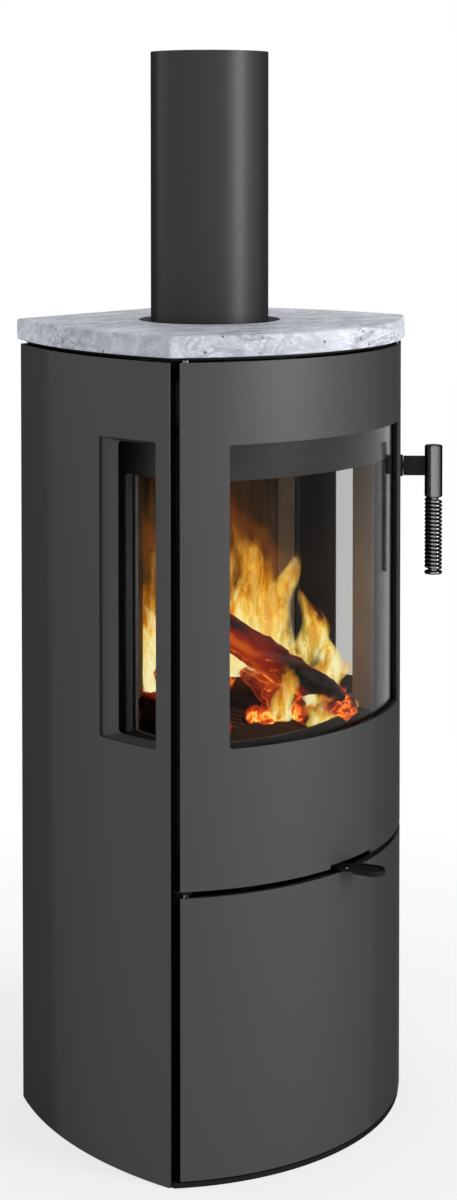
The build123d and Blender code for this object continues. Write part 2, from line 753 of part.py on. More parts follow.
def make_latch_tongue():
    """Rounded tongue on the shaft's inner end; it hangs clear of the striker until it is turned."""
    hub = Circle(8)
    tip = Pos(0, -7) * Circle(6)
    face = hub + tip + Pos(0, -3.5) * Rectangle(12, 7) - Circle(SHAFT_RADIUS)
    return handle * extrude(Pos(0, 0, -27) * face, amount=6)


def make_shaft_nut():
    """Nut on the shaft's thread."""
    face = RegularPolygon(7.5, 6) - Circle(4)
    return handle * extrude(Pos(0, 0, -32.5) * face, amount=5.5)


# Lower door


def make_lower_stiffener():
    """Folded channel up the middle of the lower door."""
    channel = bent(306, SKIN_INSIDE, -4, 4, 20, 334)
    return channel - bent(308, SKIN_INSIDE + 1, -3.6, 3.6, 18, 336)


def make_strike_plate():
    """Steel block on the lower door that meets the magnet."""
    return bent(298, SKIN_INSIDE, 36.8, 39.2, 288, 312)


# Air lever


def lever_place(shape, turn=LEVER_ANGLE):
    """Shape drawn straight ahead of the pivot, turned to where the lever rests."""
    return Pos(LEVER_PIVOT_X, LEVER_PIVOT_Y, 0) * Rot(0, 0, turn) * shape


def make_air_lever():
    """Flat lever, broader outside the doors, with a rounded paddle that has a rim round its outer end."""
    hub = Circle(12)
    arm = Pos(0, -80) * Rectangle(LEVER_WIDTH, 160)
    neck = Pos(-2, -162) * RectangleRounded(LEVER_WIDTH + 6, 26, 5)
    middle = Pos(0, -LEVER_LENGTH + PADDLE_LONG / 2) * Rot(0, 0, 90)
    paddle = middle * SlotOverall(PADDLE_LONG, PADDLE_WIDE)
    face = hub + arm + neck + paddle - Circle(4 + RUNNING_FIT)
    lever = upright(face, LEVER_LOW, LEVER_LOW + LEVER_THICK)
    rim = paddle - middle * SlotOverall(PADDLE_LONG - 2 * PADDLE_RIM, PADDLE_WIDE - 2 * PADDLE_RIM)
    rim &= Pos(0, -LEVER_LENGTH) * Rectangle(2 * PADDLE_WIDE, 2 * PADDLE_RIM_REACH)
    return lever_place(lever + upright(rim, PADDLE_LOW, PADDLE_HIGH))


def make_air_shutter():
    """Slotted plate on the lever that covers and uncovers the air holes."""
    hub = tube(0, 0, 4 + RUNNING_FIT, 12, LEVER_LOW + LEVER_THICK, 355.5)
    plate = Circle(62) & (Pos(0, 24) * Rectangle(124, 60))
    plate = upright(plate + Circle(12) - Circle(4 + RUNNING_FIT), 355.5, 357.5)
    shutter = lever_place(hub + plate, 0)
    for hole in air_holes(355, 358, 6.5):
        shutter -= hole
    return shutter


def make_pivot_pin():
    """Headed pin under the shelf that the lever turns on."""
    pin = tube(LEVER_PIVOT_X, LEVER_PIVOT_Y, 0, 4, 347, SHELF_LOW)
    return pin + tube(LEVER_PIVOT_X, LEVER_PIVOT_Y, 0, 8, 344.5, 348)


def make_lever_rivet():
    """Domed rivet in the lever just outside the door."""
    return lever_place(Pos(-8, -163, LEVER_LOW + LEVER_THICK + 0.8) * Cylinder(3.5, 1.6))


# Ash pan


def make_ash_pan():
    """Tray with a turned-out finger pull along its front."""
    tray = block(-PAN_HALF_WIDTH, PAN_HALF_WIDTH, PAN_FRONT_Y, PAN_BACK_Y, PAN_LOW, PAN_HIGH)
    tray = fillet(tray.edges().filter_by(Axis.Z), 8)
    inside = block(
        -PAN_HALF_WIDTH + 2, PAN_HALF_WIDTH - 2, PAN_FRONT_Y + 2, PAN_BACK_Y - 2, PAN_LOW + 2, PAN_HIGH + 1
    )
    tray -= fillet(inside.edges().filter_by(Axis.Z), 6)
    pull = block(-32, 32, PAN_FRONT_Y - 14, PAN_FRONT_Y + 1, PAN_HIGH - 2, PAN_HIGH)
    return tray + pull + block(-32, 32, PAN_FRONT_Y - 14, PAN_FRONT_Y - 12, PAN_HIGH - 10, PAN_HIGH)


def make_ash_guides():
    """Two angle guides beside the pan."""
    upper = block(107, 110, -150, 60, ASH_FLOOR, ASH_FLOOR + 16)
    return both_sides(upper + block(107, 122, -150, 60, ASH_FLOOR, ASH_FLOOR + 3))


right_panel = make_side_panel()
save("right_side_panel", right_panel)
save("left_side_panel", mirror(right_panel, about=Plane.YZ))
save("base_plate", make_base_plate())
save("rear_panel", make_rear_panel())
save("rear_panel_screws", make_rear_screws())
save("front_posts", make_front_posts())
save("rear_posts", make_rear_posts())
save("top_plate", make_top_plate())
save("stone_top", make_stone_top())

save("flue_collar", make_flue_collar())
save("flue_rosette", make_flue_rosette())
save("flue_pipe", tube(0, 0, FLUE_RADIUS - FLUE_WALL, FLUE_RADIUS, FLUE_FOOT, FLUE_TOP))

save("firebox_shell", make_firebox_shell())
save("back_lining", make_back_lining())
save("side_linings", make_side_linings())
save("hearth_bricks", make_hearth_bricks())
save("grate", make_grate())
save("log_retainer", make_log_retainer())
save("baffle_board", make_baffle_board())
save("smoke_deflector", make_smoke_deflector())
save("rear_heat_shield", make_rear_heat_shield())
save("window_frames", both_sides(make_window_frame()))
save("window_seals", both_sides(make_window_seal()))
save("window_glasses", both_sides(wall_plate(WINDOW_LAP, 5.6, 9.4)))
save("window_frame_screws", make_window_screws())

save("divider_shelf", make_divider_shelf())
save("log_store_liner", make_log_store_liner())
save("air_box", make_air_box())
save("air_duct", make_air_duct())
save("air_inlet_stub", make_air_inlet())
save("hinge_pins", make_hinge_pins())
save("hinge_bracket", make_hinge_bracket())
save("latch_striker", make_latch_striker())
save("magnet_catch", make_magnet_catch())

save("upper_door_skin", make_upper_door_skin())
save("upper_door_frame", make_inner_frame())
pane = (-PANE_HALF_ANGLE, PANE_HALF_ANGLE, PANE_LOW, PANE_HIGH)
save("front_glass", bent(PANE_INSIDE + PANE_PLAY, PANE_INSIDE + PANE_THICK - PANE_PLAY, *pane))
save("front_glass_seal", make_glass_seal())
rope_inside = FIREBOX_FRONT_RADIUS + ROPE_GAP
save("door_rope_seal", rope_ring(rope_inside, FRAME_INSIDE + ROPE_DEPTH, 0.1))
save("upper_hinge_sleeves", Compound(children=[hinge_sleeve(364, 394), hinge_sleeve(944, 970)]))
save("door_frame_screws", make_frame_screws())
save("handle_bush", shaft_disc(SHAFT_RADIUS + RUNNING_FIT, 9, -15.5, -3.2))
save("handle_escutcheon", shaft_disc(SHAFT_RADIUS + RUNNING_FIT, 14, 0, 3))

save("handle_arm", make_handle_arm())
save("grip_sleeve", make_grip_sleeve())
save("grip_rod", make_grip_rod())
save("grip_spring", make_grip_spring())
save("latch_tongue", make_latch_tongue())
save("shaft_nut", make_shaft_nut())

save("lower_door_skin", door_skin(LOWER_LOW, LOWER_HIGH))
save("lower_door_stiffener", make_lower_stiffener())
save("lower_hinge_sleeves", Compound(children=[hinge_sleeve(16, 40), hinge_sleeve(310, 338)]))
save("lower_strike_plate", make_strike_plate())

save("air_lever", make_air_lever())
save("air_shutter", make_air_shutter())
save("lever_rivet", make_lever_rivet())
save("lever_pivot_pin", make_pivot_pin())

save("ash_pan", make_ash_pan())
save("ash_pan_guides", make_ash_guides())
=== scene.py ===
"""Dresses the log stove: softened sheet edges, a honed stone top, finishes for every part, a log fire
and a plain studio. The frame gives every size that the stove itself has."""

import json
import math
import random

import bpy
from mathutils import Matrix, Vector

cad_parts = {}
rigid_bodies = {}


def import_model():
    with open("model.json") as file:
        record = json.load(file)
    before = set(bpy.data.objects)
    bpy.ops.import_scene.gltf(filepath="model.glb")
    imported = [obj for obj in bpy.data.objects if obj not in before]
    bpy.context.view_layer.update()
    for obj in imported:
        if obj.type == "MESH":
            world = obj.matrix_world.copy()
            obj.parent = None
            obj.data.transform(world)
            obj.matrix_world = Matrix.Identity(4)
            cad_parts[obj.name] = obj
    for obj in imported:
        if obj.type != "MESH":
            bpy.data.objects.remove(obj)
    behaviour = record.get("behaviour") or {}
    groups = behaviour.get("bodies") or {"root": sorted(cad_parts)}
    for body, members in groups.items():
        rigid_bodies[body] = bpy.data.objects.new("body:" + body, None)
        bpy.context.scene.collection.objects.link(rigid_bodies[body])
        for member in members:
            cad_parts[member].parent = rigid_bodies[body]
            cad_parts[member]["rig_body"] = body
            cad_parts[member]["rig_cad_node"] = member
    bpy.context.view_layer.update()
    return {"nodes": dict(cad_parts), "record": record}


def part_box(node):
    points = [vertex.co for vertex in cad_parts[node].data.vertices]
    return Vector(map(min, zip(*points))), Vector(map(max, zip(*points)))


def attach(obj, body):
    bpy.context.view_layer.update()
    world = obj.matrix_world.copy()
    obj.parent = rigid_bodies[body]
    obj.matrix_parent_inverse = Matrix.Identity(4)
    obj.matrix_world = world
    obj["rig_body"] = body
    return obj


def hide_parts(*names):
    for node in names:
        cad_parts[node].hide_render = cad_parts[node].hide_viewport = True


bl_info = {
    "name": "Log Stove Dressing",
    "version": (1, 0, 0),
    "blender": (4, 5, 0),
    "location": "View3D > Sidebar > Stove",
    "description": "Finishes, fire and studio for a log stove with a bowed glazed door",
    "category": "Object",
}

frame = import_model()

SHEET_PIECES = {
    "left_side_panel": "left_side_sheet",
    "right_side_panel": "right_side_sheet",
    "upper_door_skin": "upper_door_sheet",
    "lower_door_skin": "lower_door_sheet",
    "top_plate": "top_sheet",
}
BODY_OF_SHEET = {"upper_door_skin": "upper_door", "lower_door_skin": "lower_door"}

# The flange behind the right window's cut-out: its outline at the sheet, how much it narrows and moves to the
# front at its inner edge, its corners and thickness, and the round of the side sheet's inner face.
FLANGE_LOW = (0.2105, -0.1145, 0.5193)
FLANGE_HIGH = (0.2225, -0.0120, 0.8847)
FLANGE_TAPER = (1.0, 0.704, 0.967)
FLANGE_SHIFT = -0.01315
FLANGE_CORNER = 0.0045
FLANGE_SHEET = 0.002
FLANGE_CURVE = 0.5038
SIDE_CENTRE = (0.28176, -0.0729)

# Copies of CAD sheets: the distance within which points merge, in metres, and in degrees, the angles up to
# which faces join, from which edges are rounded and up to which the shading runs on.
MERGE_DISTANCE = 1e-6
FLAT_ANGLE = 0.2
EDGE_ANGLE = 50
SHADE_ANGLE = 40


# Sizes and colours

class StoveSheetSettings(bpy.types.PropertyGroup):
    """How the painted sheet and the stone are finished."""

    edge_radius: bpy.props.FloatProperty(
        name="Sheet edge radius", description="Rounding left on the cut edges of the sheet steel",
        default=0.0007, min=0.0, max=0.0015, unit="LENGTH")
    stone_edge: bpy.props.FloatProperty(
        name="Stone edge", description="Chamfer honed along the edges of the stone slab",
        default=0.0022, min=0.0, max=0.006, unit="LENGTH")
    casing_color: bpy.props.FloatVectorProperty(
        name="Casing paint", description="Satin grey-black paint of the casing and doors",
        subtype="COLOR", default=(0.080, 0.080, 0.082), min=0.0, max=1.0)
    casing_roughness: bpy.props.FloatProperty(
        name="Casing roughness", description="Sheen of the casing paint",
        default=0.50, min=0.0, max=1.0, subtype="FACTOR")
    stone_color: bpy.props.FloatVectorProperty(
        name="Stone", description="Main colour of the stone slab",
        subtype="COLOR", default=(0.64, 0.67, 0.73), min=0.0, max=1.0)
    stone_vein_color: bpy.props.FloatVectorProperty(
        name="Stone veins", description="Colour of the darker veins in the stone",
        subtype="COLOR", default=(0.27, 0.29, 0.34), min=0.0, max=1.0)


class StoveFireSettings(bpy.types.PropertyGroup):
    """The log fire in the fire chamber."""

    log_radius: bpy.props.FloatProperty(
        name="Log radius", description="Radius of a log before it is split",
        default=0.032, min=0.02, max=0.04, unit="LENGTH")
    log_share: bpy.props.FloatProperty(
        name="Log length", description="Length of the logs against their usual length",
        default=1.0, min=0.5, max=1.0, subtype="FACTOR")
    ember_size: bpy.props.FloatProperty(
        name="Ember size", description="Size of the largest embers",
        default=0.017, min=0.005, max=0.03, unit="LENGTH")
    ember_count: bpy.props.IntProperty(
        name="Embers", description="Number of separate embers in the bed",
        default=150, min=10, max=150)
    flame_height: bpy.props.FloatProperty(
        name="Flame height", description="Height of the tallest flames",
        default=0.30, min=0.05, max=0.33, unit="LENGTH")
    flame_strength: bpy.props.FloatProperty(
        name="Flame strength", description="How brightly the flames shine",
        default=1.35, min=0.0, max=5.0)
    flame_core: bpy.props.FloatVectorProperty(
        name="Flame core", description="Colour of the hot root of a flame",
        subtype="COLOR", default=(1.0, 0.72, 0.13), min=0.0, max=1.0)
    flame_body: bpy.props.FloatVectorProperty(
        name="Flame body", description="Colour of the middle of a flame",
        subtype="COLOR", default=(0.90, 0.36, 0.012), min=0.0, max=1.0)
    flame_tip: bpy.props.FloatVectorProperty(
        name="Flame tip", description="Colour of the tip of a flame",
        subtype="COLOR", default=(0.45, 0.10, 0.004), min=0.0, max=1.0)


class StoveStudioSettings(bpy.types.PropertyGroup):
    """The plain studio round the stove."""

    floor_color: bpy.props.FloatVectorProperty(
        name="Floor", description="Colour of the studio floor",
        subtype="COLOR", default=(0.86, 0.86, 0.86), min=0.0, max=1.0)
    sky_strength: bpy.props.FloatProperty(
        name="Even light", description="Strength of the even light from all round",
        default=0.55, min=0.0, max=2.0)
    key_power: bpy.props.FloatProperty(
        name="Front lamp", description="Power of the tall lamp in front",
        default=58.0, min=0.0, max=500.0, unit="POWER")
    side_power: bpy.props.FloatProperty(
        name="Side lamp", description="Power of the lamp to the left and behind",
        default=14.0, min=0.0, max=500.0, unit="POWER")
    top_power: bpy.props.FloatProperty(
        name="Top lamp", description="Power of the lamp above",
        default=7.0, min=0.0, max=500.0, unit="POWER")
    fire_power: bpy.props.FloatProperty(
        name="Fire light", description="Power of the warm light that the fire throws",
        default=1.4, min=0.0, max=50.0, unit="POWER")


# Shared steps

def deselect_all():
    if bpy.context.object and bpy.context.object.mode != "OBJECT":
        bpy.ops.object.mode_set(mode="OBJECT")
    bpy.ops.object.select_all(action="DESELECT")


def pick(piece):
    """Makes one object the selected and active one."""
    deselect_all()
    piece.hide_viewport = False
    piece.select_set(True)
    bpy.context.view_layer.objects.active = piece


def select_all_of(piece):
    pick(piece)
    bpy.ops.object.mode_set(mode="EDIT")
    bpy.ops.mesh.select_all(action="SELECT")


def apply_modifiers(piece):
    pick(piece)
    for modifier in list(piece.modifiers):
        bpy.ops.object.modifier_apply(modifier=modifier.name)


def apply_place(piece):
    pick(piece)
    bpy.ops.object.transform_apply(location=True, rotation=True, scale=True)


def join(pieces, name):
    deselect_all()
    for piece in pieces:
        piece.select_set(True)
    bpy.context.view_layer.objects.active = pieces[0]
    bpy.ops.object.join()
    joined = bpy.context.object
    joined.name = name
    joined.data.name = name
    return joined


def own_copy(piece):
    """A second piece of the same form, with its own mesh."""
    pick(piece)
    bpy.ops.object.duplicate()
    return bpy.context.object


def merged_copy(node, name):
    """A copy of a CAD node with its loose triangles merged, ready to be finished."""
    pick(frame["nodes"][node])
    bpy.ops.object.duplicate()
    piece = bpy.context.object
    piece.name = name
    piece.data.name = name
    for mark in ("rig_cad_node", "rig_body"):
        if mark in piece:
            del piece[mark]
    piece.parent = None
    select_all_of(piece)
    bpy.ops.mesh.remove_doubles(threshold=MERGE_DISTANCE)
    bpy.ops.mesh.customdata_custom_splitnormals_clear()
    bpy.ops.mesh.dissolve_limited(angle_limit=math.radians(FLAT_ANGLE))
    bpy.ops.object.mode_set(mode="OBJECT")
    return piece


def smooth(piece, degrees):
    pick(piece)
    bpy.ops.object.shade_smooth_by_angle(angle=math.radians(degrees))


def give(piece, material):
    piece.data.materials.clear()
    piece.data.materials.append(material)


# Node groups

def start_group(name, inputs, outputs):
    """A shader node group with named sockets. Each socket is (name, type, default)."""
    group = bpy.data.node_groups.new(name, "ShaderNodeTree")
    for socket_name, socket_type, default in inputs:
        socket = group.interface.new_socket(socket_name, in_out="INPUT", socket_type=socket_type)
        if default is not None:
            socket.default_value = default
    for socket_name, socket_type in outputs:
        group.interface.new_socket(socket_name, in_out="OUTPUT", socket_type=socket_type)
    start = group.nodes.new("NodeGroupInput")
    end = group.nodes.new("NodeGroupOutput")
    return group, start, end


def noise(tree, scale, detail=4.0, roughness=0.5, vector=None):
    node = tree.nodes.new("ShaderNodeTexNoise")
    node.inputs["Scale"].default_value = scale
    node.inputs["Detail"].default_value = detail
    node.inputs["Roughness"].default_value = roughness
    if vector is not None:
        tree.links.new(vector, node.inputs["Vector"])
    return node


def stretch(tree, vector, low, high, to_low=0.0, to_high=1.0):
    """Maps a value from one range to another, and holds it there."""
    node = tree.nodes.new("ShaderNodeMapRange")
    node.inputs["From Min"].default_value = low
    node.inputs["From Max"].default_value = high
    node.inputs["To Min"].default_value = to_low
    node.inputs["To Max"].default_value = to_high
    tree.links.new(vector, node.inputs["Value"])
    return node.outputs["Result"]


def blend_colors(tree, factor, first, second):
    """Mixes two colours. Each is a socket or a plain colour."""
    node = tree.nodes.new("ShaderNodeMix")
    node.data_type = "RGBA"
    if hasattr(factor, "links"):
        tree.links.new(factor, node.inputs["Factor"])
    else:
        node.inputs["Factor"].default_value = factor
    for name, color in (("A", first), ("B", second)):
        socket = next(s for s in node.inputs if s.name == name and s.type == "RGBA")
        if hasattr(color, "links"):
            tree.links.new(color, socket)
        else:
            socket.default_value = (*color[:3], 1.0)
    return next(s for s in node.outputs if s.type == "RGBA")


def calculate(tree, operation, first, second=0.5):
    node = tree.nodes.new("ShaderNodeMath")
    node.operation = operation
    for index, value in enumerate((first, second)):
        if hasattr(value, "links"):
            tree.links.new(value, node.inputs[index])
        else:
            node.inputs[index].default_value = value
    return node.outputs["Value"]


def from_middle(tree, value):
    """How far a noise value is from its middle: small along its winding lines."""
    return calculate(tree, "ABSOLUTE", calculate(tree, "SUBTRACT", value, 0.5))


def object_coordinates(tree):
    return tree.nodes.new("ShaderNodeTexCoord").outputs["Object"]


def bump(tree, height, strength, distance):
    node = tree.nodes.new("ShaderNodeBump")
    node.inputs["Strength"].default_value = strength
    node.inputs["Distance"].default_value = distance
    tree.links.new(height, node.inputs["Height"])
    return node.outputs["Normal"]


def make_grain_group():
    """Fine grain of sprayed paint, cast iron or pressed board: a mask and a normal."""
    group, start, end = start_group(
        "Surface grain",
        [("Scale", "NodeSocketFloat", 400.0), ("Depth", "NodeSocketFloat", 0.0002)],
        [("Mask", "NodeSocketFloat"), ("Normal", "NodeSocketVector")])
    grains = noise(group, 400.0, detail=3.0, vector=object_coordinates(group))
    group.links.new(start.outputs["Scale"], grains.inputs["Scale"])
    relief = group.nodes.new("ShaderNodeBump")
    relief.inputs["Strength"].default_value = 1.0
    group.links.new(start.outputs["Depth"], relief.inputs["Distance"])
    group.links.new(grains.outputs["Fac"], relief.inputs["Height"])
    group.links.new(grains.outputs["Fac"], end.inputs["Mask"])
    group.links.new(relief.outputs["Normal"], end.inputs["Normal"])


def make_haze_group():
    """Cloudy change between two colours, such as soot on board or wear on steel."""
    group, start, end = start_group(
        "Soot haze",
        [("Clean", "NodeSocketColor", (0.5, 0.5, 0.5, 1.0)),
         ("Sooted", "NodeSocketColor", (0.02, 0.02, 0.02, 1.0)),
         ("Scale", "NodeSocketFloat", 6.0),
         ("Clear Below", "NodeSocketFloat", 0.4),
         ("Full Above", "NodeSocketFloat", 0.6)],
        [("Color", "NodeSocketColor")])
    clouds = noise(group, 6.0, detail=6.0, roughness=0.6, vector=object_coordinates(group))
    group.links.new(start.outputs["Scale"], clouds.inputs["Scale"])
    spread = group.nodes.new("ShaderNodeMapRange")
    group.links.new(clouds.outputs["Fac"], spread.inputs["Value"])
    group.links.new(start.outputs["Clear Below"], spread.inputs["From Min"])
    group.links.new(start.outputs["Full Above"], spread.inputs["From Max"])
    mixed = blend_colors(group, spread.outputs["Result"], start.outputs["Clean"], start.outputs["Sooted"])
    group.links.new(mixed, end.inputs["Color"])


def make_glow_group():
    """Where a log or an ember glows: the cracks between charred scales, in patches."""
    group, start, end = start_group(
        "Ember glow",
        [("Vector", "NodeSocketVector", None),
         ("Scale", "NodeSocketFloat", 60.0),
         ("Crack Width", "NodeSocketFloat", 0.12),
         ("Patch Scale", "NodeSocketFloat", 14.0)],
        [("Cracks", "NodeSocketFloat"), ("Color", "NodeSocketColor")])
    place = start.outputs["Vector"]
    scales = noise(group, 60.0, detail=4.0, roughness=0.6, vector=place)
    scales.inputs["Distortion"].default_value = 0.5
    group.links.new(start.outputs["Scale"], scales.inputs["Scale"])
    ridges = from_middle(group, scales.outputs["Fac"])
    cracks = group.nodes.new("ShaderNodeMapRange")
    cracks.inputs["From Min"].default_value = 0.0
    cracks.inputs["To Min"].default_value = 1.0
    cracks.inputs["To Max"].default_value = 0.0
    group.links.new(ridges, cracks.inputs["Value"])
    group.links.new(start.outputs["Crack Width"], cracks.inputs["From Max"])
    patches = noise(group, 14.0, detail=3.0, vector=place)
    group.links.new(start.outputs["Patch Scale"], patches.inputs["Scale"])
    hot = stretch(group, patches.outputs["Fac"], 0.38, 0.60)
    heat = calculate(group, "MULTIPLY", cracks.outputs["Result"], hot)
    heat = calculate(group, "MAXIMUM", heat, calculate(group, "MULTIPLY", hot, 0.38))
    color = group.nodes.new("ShaderNodeValToRGB")
    color.color_ramp.elements[0].color = (0.0, 0.0, 0.0, 1.0)
    color.color_ramp.elements[1].color = (1.0, 0.55, 0.12, 1.0)
    for position, shade in ((0.25, (0.20, 0.010, 0.001, 1.0)), (0.6, (0.85, 0.17, 0.010, 1.0))):
        color.color_ramp.elements.new(position).color = shade
    group.links.new(heat, color.inputs["Fac"])
    group.links.new(cracks.outputs["Result"], end.inputs["Cracks"])
    group.links.new(color.outputs["Color"], end.inputs["Color"])


def placed_group(tree, name, **values):
    """One use of a shared group, with its own values."""
    node = tree.nodes.new("ShaderNodeGroup")
    node.node_tree = bpy.data.node_groups[name]
    for socket, value in values.items():
        label = socket.replace("_", " ")
        node.inputs[label].default_value = (*value, 1.0) if isinstance(value, tuple) else value
    return node


# Materials

def start_material(name, color, roughness, metallic=0.0, specular=0.5):
    material = bpy.data.materials.new(name)
    material.use_nodes = True
    tree = material.node_tree
    shader = tree.nodes["Principled BSDF"]
    shader.inputs["Base Color"].default_value = (*color, 1.0)
    shader.inputs["Roughness"].default_value = roughness
    shader.inputs["Metallic"].default_value = metallic
    shader.inputs["Specular IOR Level"].default_value = specular
    return material, tree, shader


def make_paint(name, color, roughness, flake, grain_scale=900.0, grain_depth=0.00004):
    """Heat-proof paint with metal flake: satin seen face on, dark at a glancing angle, finely grained."""
    material, tree, shader = start_material(name, color, roughness, metallic=flake, specular=0.0)
    shader.inputs["Specular Tint"].default_value = (0.0, 0.0, 0.0, 1.0)
    grain = placed_group(tree, "Surface grain", Scale=grain_scale, Depth=grain_depth)
    tree.links.new(grain.outputs["Normal"], shader.inputs["Normal"])
    sheen = stretch(tree, grain.outputs["Mask"], 0.3, 0.7, roughness - 0.03, roughness + 0.03)
    tree.links.new(sheen, shader.inputs["Roughness"])
    return material


def make_stone(settings):
    """Pale blue-grey stone with drifting veins, small dark pits and a honed face."""
    material, tree, shader = start_material("stone", tuple(settings.stone_color), 0.55, specular=0.4)
    place = object_coordinates(tree)
    turned = tree.nodes.new("ShaderNodeMapping")
    turned.inputs["Rotation"].default_value = (0.15, 0.2, 0.6)
    turned.inputs["Scale"].default_value = (1.0, 2.6, 3.4)
    tree.links.new(place, turned.inputs["Vector"])
    drift = noise(tree, 9.0, detail=7.0, roughness=0.62, vector=turned.outputs["Vector"])
    drift.inputs["Distortion"].default_value = 0.9
    veins = from_middle(tree, drift.outputs["Fac"])
    vein_mask = stretch(tree, veins, 0.0, 0.045, 1.0, 0.0)
    fine = noise(tree, 34.0, detail=8.0, roughness=0.7, vector=turned.outputs["Vector"])
    fine_veins = from_middle(tree, fine.outputs["Fac"])
    fine_mask = stretch(tree, fine_veins, 0.0, 0.04, 0.8, 0.0)
    mask = calculate(tree, "MAXIMUM", vein_mask, fine_mask)
    patches = noise(tree, 5.0, detail=2.0, vector=place)
    mask = calculate(tree, "MULTIPLY", mask, stretch(tree, patches.outputs["Fac"], 0.35, 0.6, 0.35, 1.0))
    clouds = noise(tree, 16.0, detail=6.0, roughness=0.65, vector=turned.outputs["Vector"])
    cloud_mask = stretch(tree, clouds.outputs["Fac"], 0.35, 0.68)
    pale = tuple(min(1.0, c * 1.16) for c in settings.stone_color)
    ground = blend_colors(tree, cloud_mask, pale, tuple(c * 0.78 for c in settings.stone_color))
    color = blend_colors(tree, mask, ground, tuple(settings.stone_vein_color))
    pits = tree.nodes.new("ShaderNodeTexVoronoi")
    pits.inputs["Scale"].default_value = 85.0
    tree.links.new(place, pits.inputs["Vector"])
    sparse = noise(tree, 60.0, detail=1.0, vector=place)
    pit_mask = calculate(
        tree, "MULTIPLY", stretch(tree, pits.outputs["Distance"], 0.10, 0.22, 1.0, 0.0),
        stretch(tree, sparse.outputs["Fac"], 0.56, 0.62))
    color = blend_colors(tree, pit_mask, color, (0.10, 0.11, 0.13))
    tree.links.new(color, shader.inputs["Base Color"])
    rough = stretch(tree, clouds.outputs["Fac"], 0.3, 0.7, 0.48, 0.62)
    tree.links.new(rough, shader.inputs["Roughness"])
    height = calculate(tree, "SUBTRACT", clouds.outputs["Fac"], pit_mask)
    tree.links.new(bump(tree, height, 0.35, 0.0006), shader.inputs["Normal"])
    return material


def make_cast_iron():
    material, tree, shader = start_material("cast_iron", (0.030, 0.030, 0.031), 0.5, specular=0.4)
    grain = placed_group(tree, "Surface grain", Scale=520.0, Depth=0.00022)
    tree.links.new(grain.outputs["Normal"], shader.inputs["Normal"])
    haze = placed_group(
        tree, "Soot haze", Clean=(0.040, 0.040, 0.041), Sooted=(0.024, 0.023, 0.023), Scale=22.0)
    tree.links.new(haze.outputs["Color"], shader.inputs["Base Color"])
    return material


def make_firebox_steel():
    material, tree, shader = start_material("firebox_steel", (0.06, 0.058, 0.056), 0.5, specular=0.4)
    haze = placed_group(
        tree, "Soot haze", Clean=(0.16, 0.158, 0.155), Sooted=(0.10, 0.097, 0.094), Scale=7.0)
    tree.links.new(haze.outputs["Color"], shader.inputs["Base Color"])
    grain = placed_group(tree, "Surface grain", Scale=600.0, Depth=0.0001)
    tree.links.new(grain.outputs["Normal"], shader.inputs["Normal"])
    return material


def make_fire_board():
    """Pressed board, tan where the fire burns it clean and brown-black where it soots, and turned brown-black
    along its lowest 3 cm as painted shade where it meets the firebox floor.
    """
    material, tree, shader = start_material("fire_board", (0.3, 0.2, 0.12), 0.85, specular=0.2)
    place = object_coordinates(tree)
    streaked = tree.nodes.new("ShaderNodeMapping")
    streaked.inputs["Scale"].default_value = (1.0, 1.0, 0.18)
    tree.links.new(place, streaked.inputs["Vector"])
    streaks = noise(tree, 38.0, detail=5.0, roughness=0.6, vector=streaked.outputs["Vector"])
    height = tree.nodes.new("ShaderNodeSeparateXYZ")
    tree.links.new(place, height.inputs["Vector"])
    low_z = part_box("side_linings")[0].z
    high_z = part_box("side_linings")[1].z
    climb = stretch(tree, height.outputs["Z"], low_z, high_z, 0.15, 0.95)
    # Painted shade: the board turns brown-black over its lowest 3 cm, in the corner by the floor.
    painted_foot_shade = stretch(tree, height.outputs["Z"], low_z, low_z + 0.03, 1.0, 0.0)
    climb = calculate(tree, "MAXIMUM", climb, painted_foot_shade)
    # soot holds both the soot that climbs with height and the painted shade at the foot.
    soot = calculate(tree, "ADD", climb, stretch(tree, streaks.outputs["Fac"], 0.3, 0.7, -0.3, 0.4))
    soot = calculate(tree, "MINIMUM", soot, 1.0)
    color = blend_colors(tree, soot, (0.20, 0.12, 0.06), (0.012, 0.008, 0.005))
    tree.links.new(color, shader.inputs["Base Color"])
    grain = placed_group(tree, "Surface grain", Scale=260.0, Depth=0.0006)
    tree.links.new(grain.outputs["Normal"], shader.inputs["Normal"])
    return material


def make_glass():
    material, tree, shader = start_material("glass", (0.69, 0.69, 0.685), 0.0)
    shader.inputs["Transmission Weight"].default_value = 1.0
    shader.inputs["IOR"].default_value = 1.14
    return material


def make_seal():
    material, tree, shader = start_material("seal", (0.018, 0.018, 0.018), 0.9, specular=0.2)
    place = object_coordinates(tree)
    braid = tree.nodes.new("ShaderNodeTexVoronoi")
    braid.inputs["Scale"].default_value = 420.0
    tree.links.new(place, braid.inputs["Vector"])
    tree.links.new(bump(tree, braid.outputs["Distance"], 0.8, 0.0006), shader.inputs["Normal"])
    shade = stretch(tree, braid.outputs["Distance"], 0.0, 0.6)
    color = blend_colors(tree, shade, (0.034, 0.034, 0.034), (0.008, 0.008, 0.008))
    tree.links.new(color, shader.inputs["Base Color"])
    return material


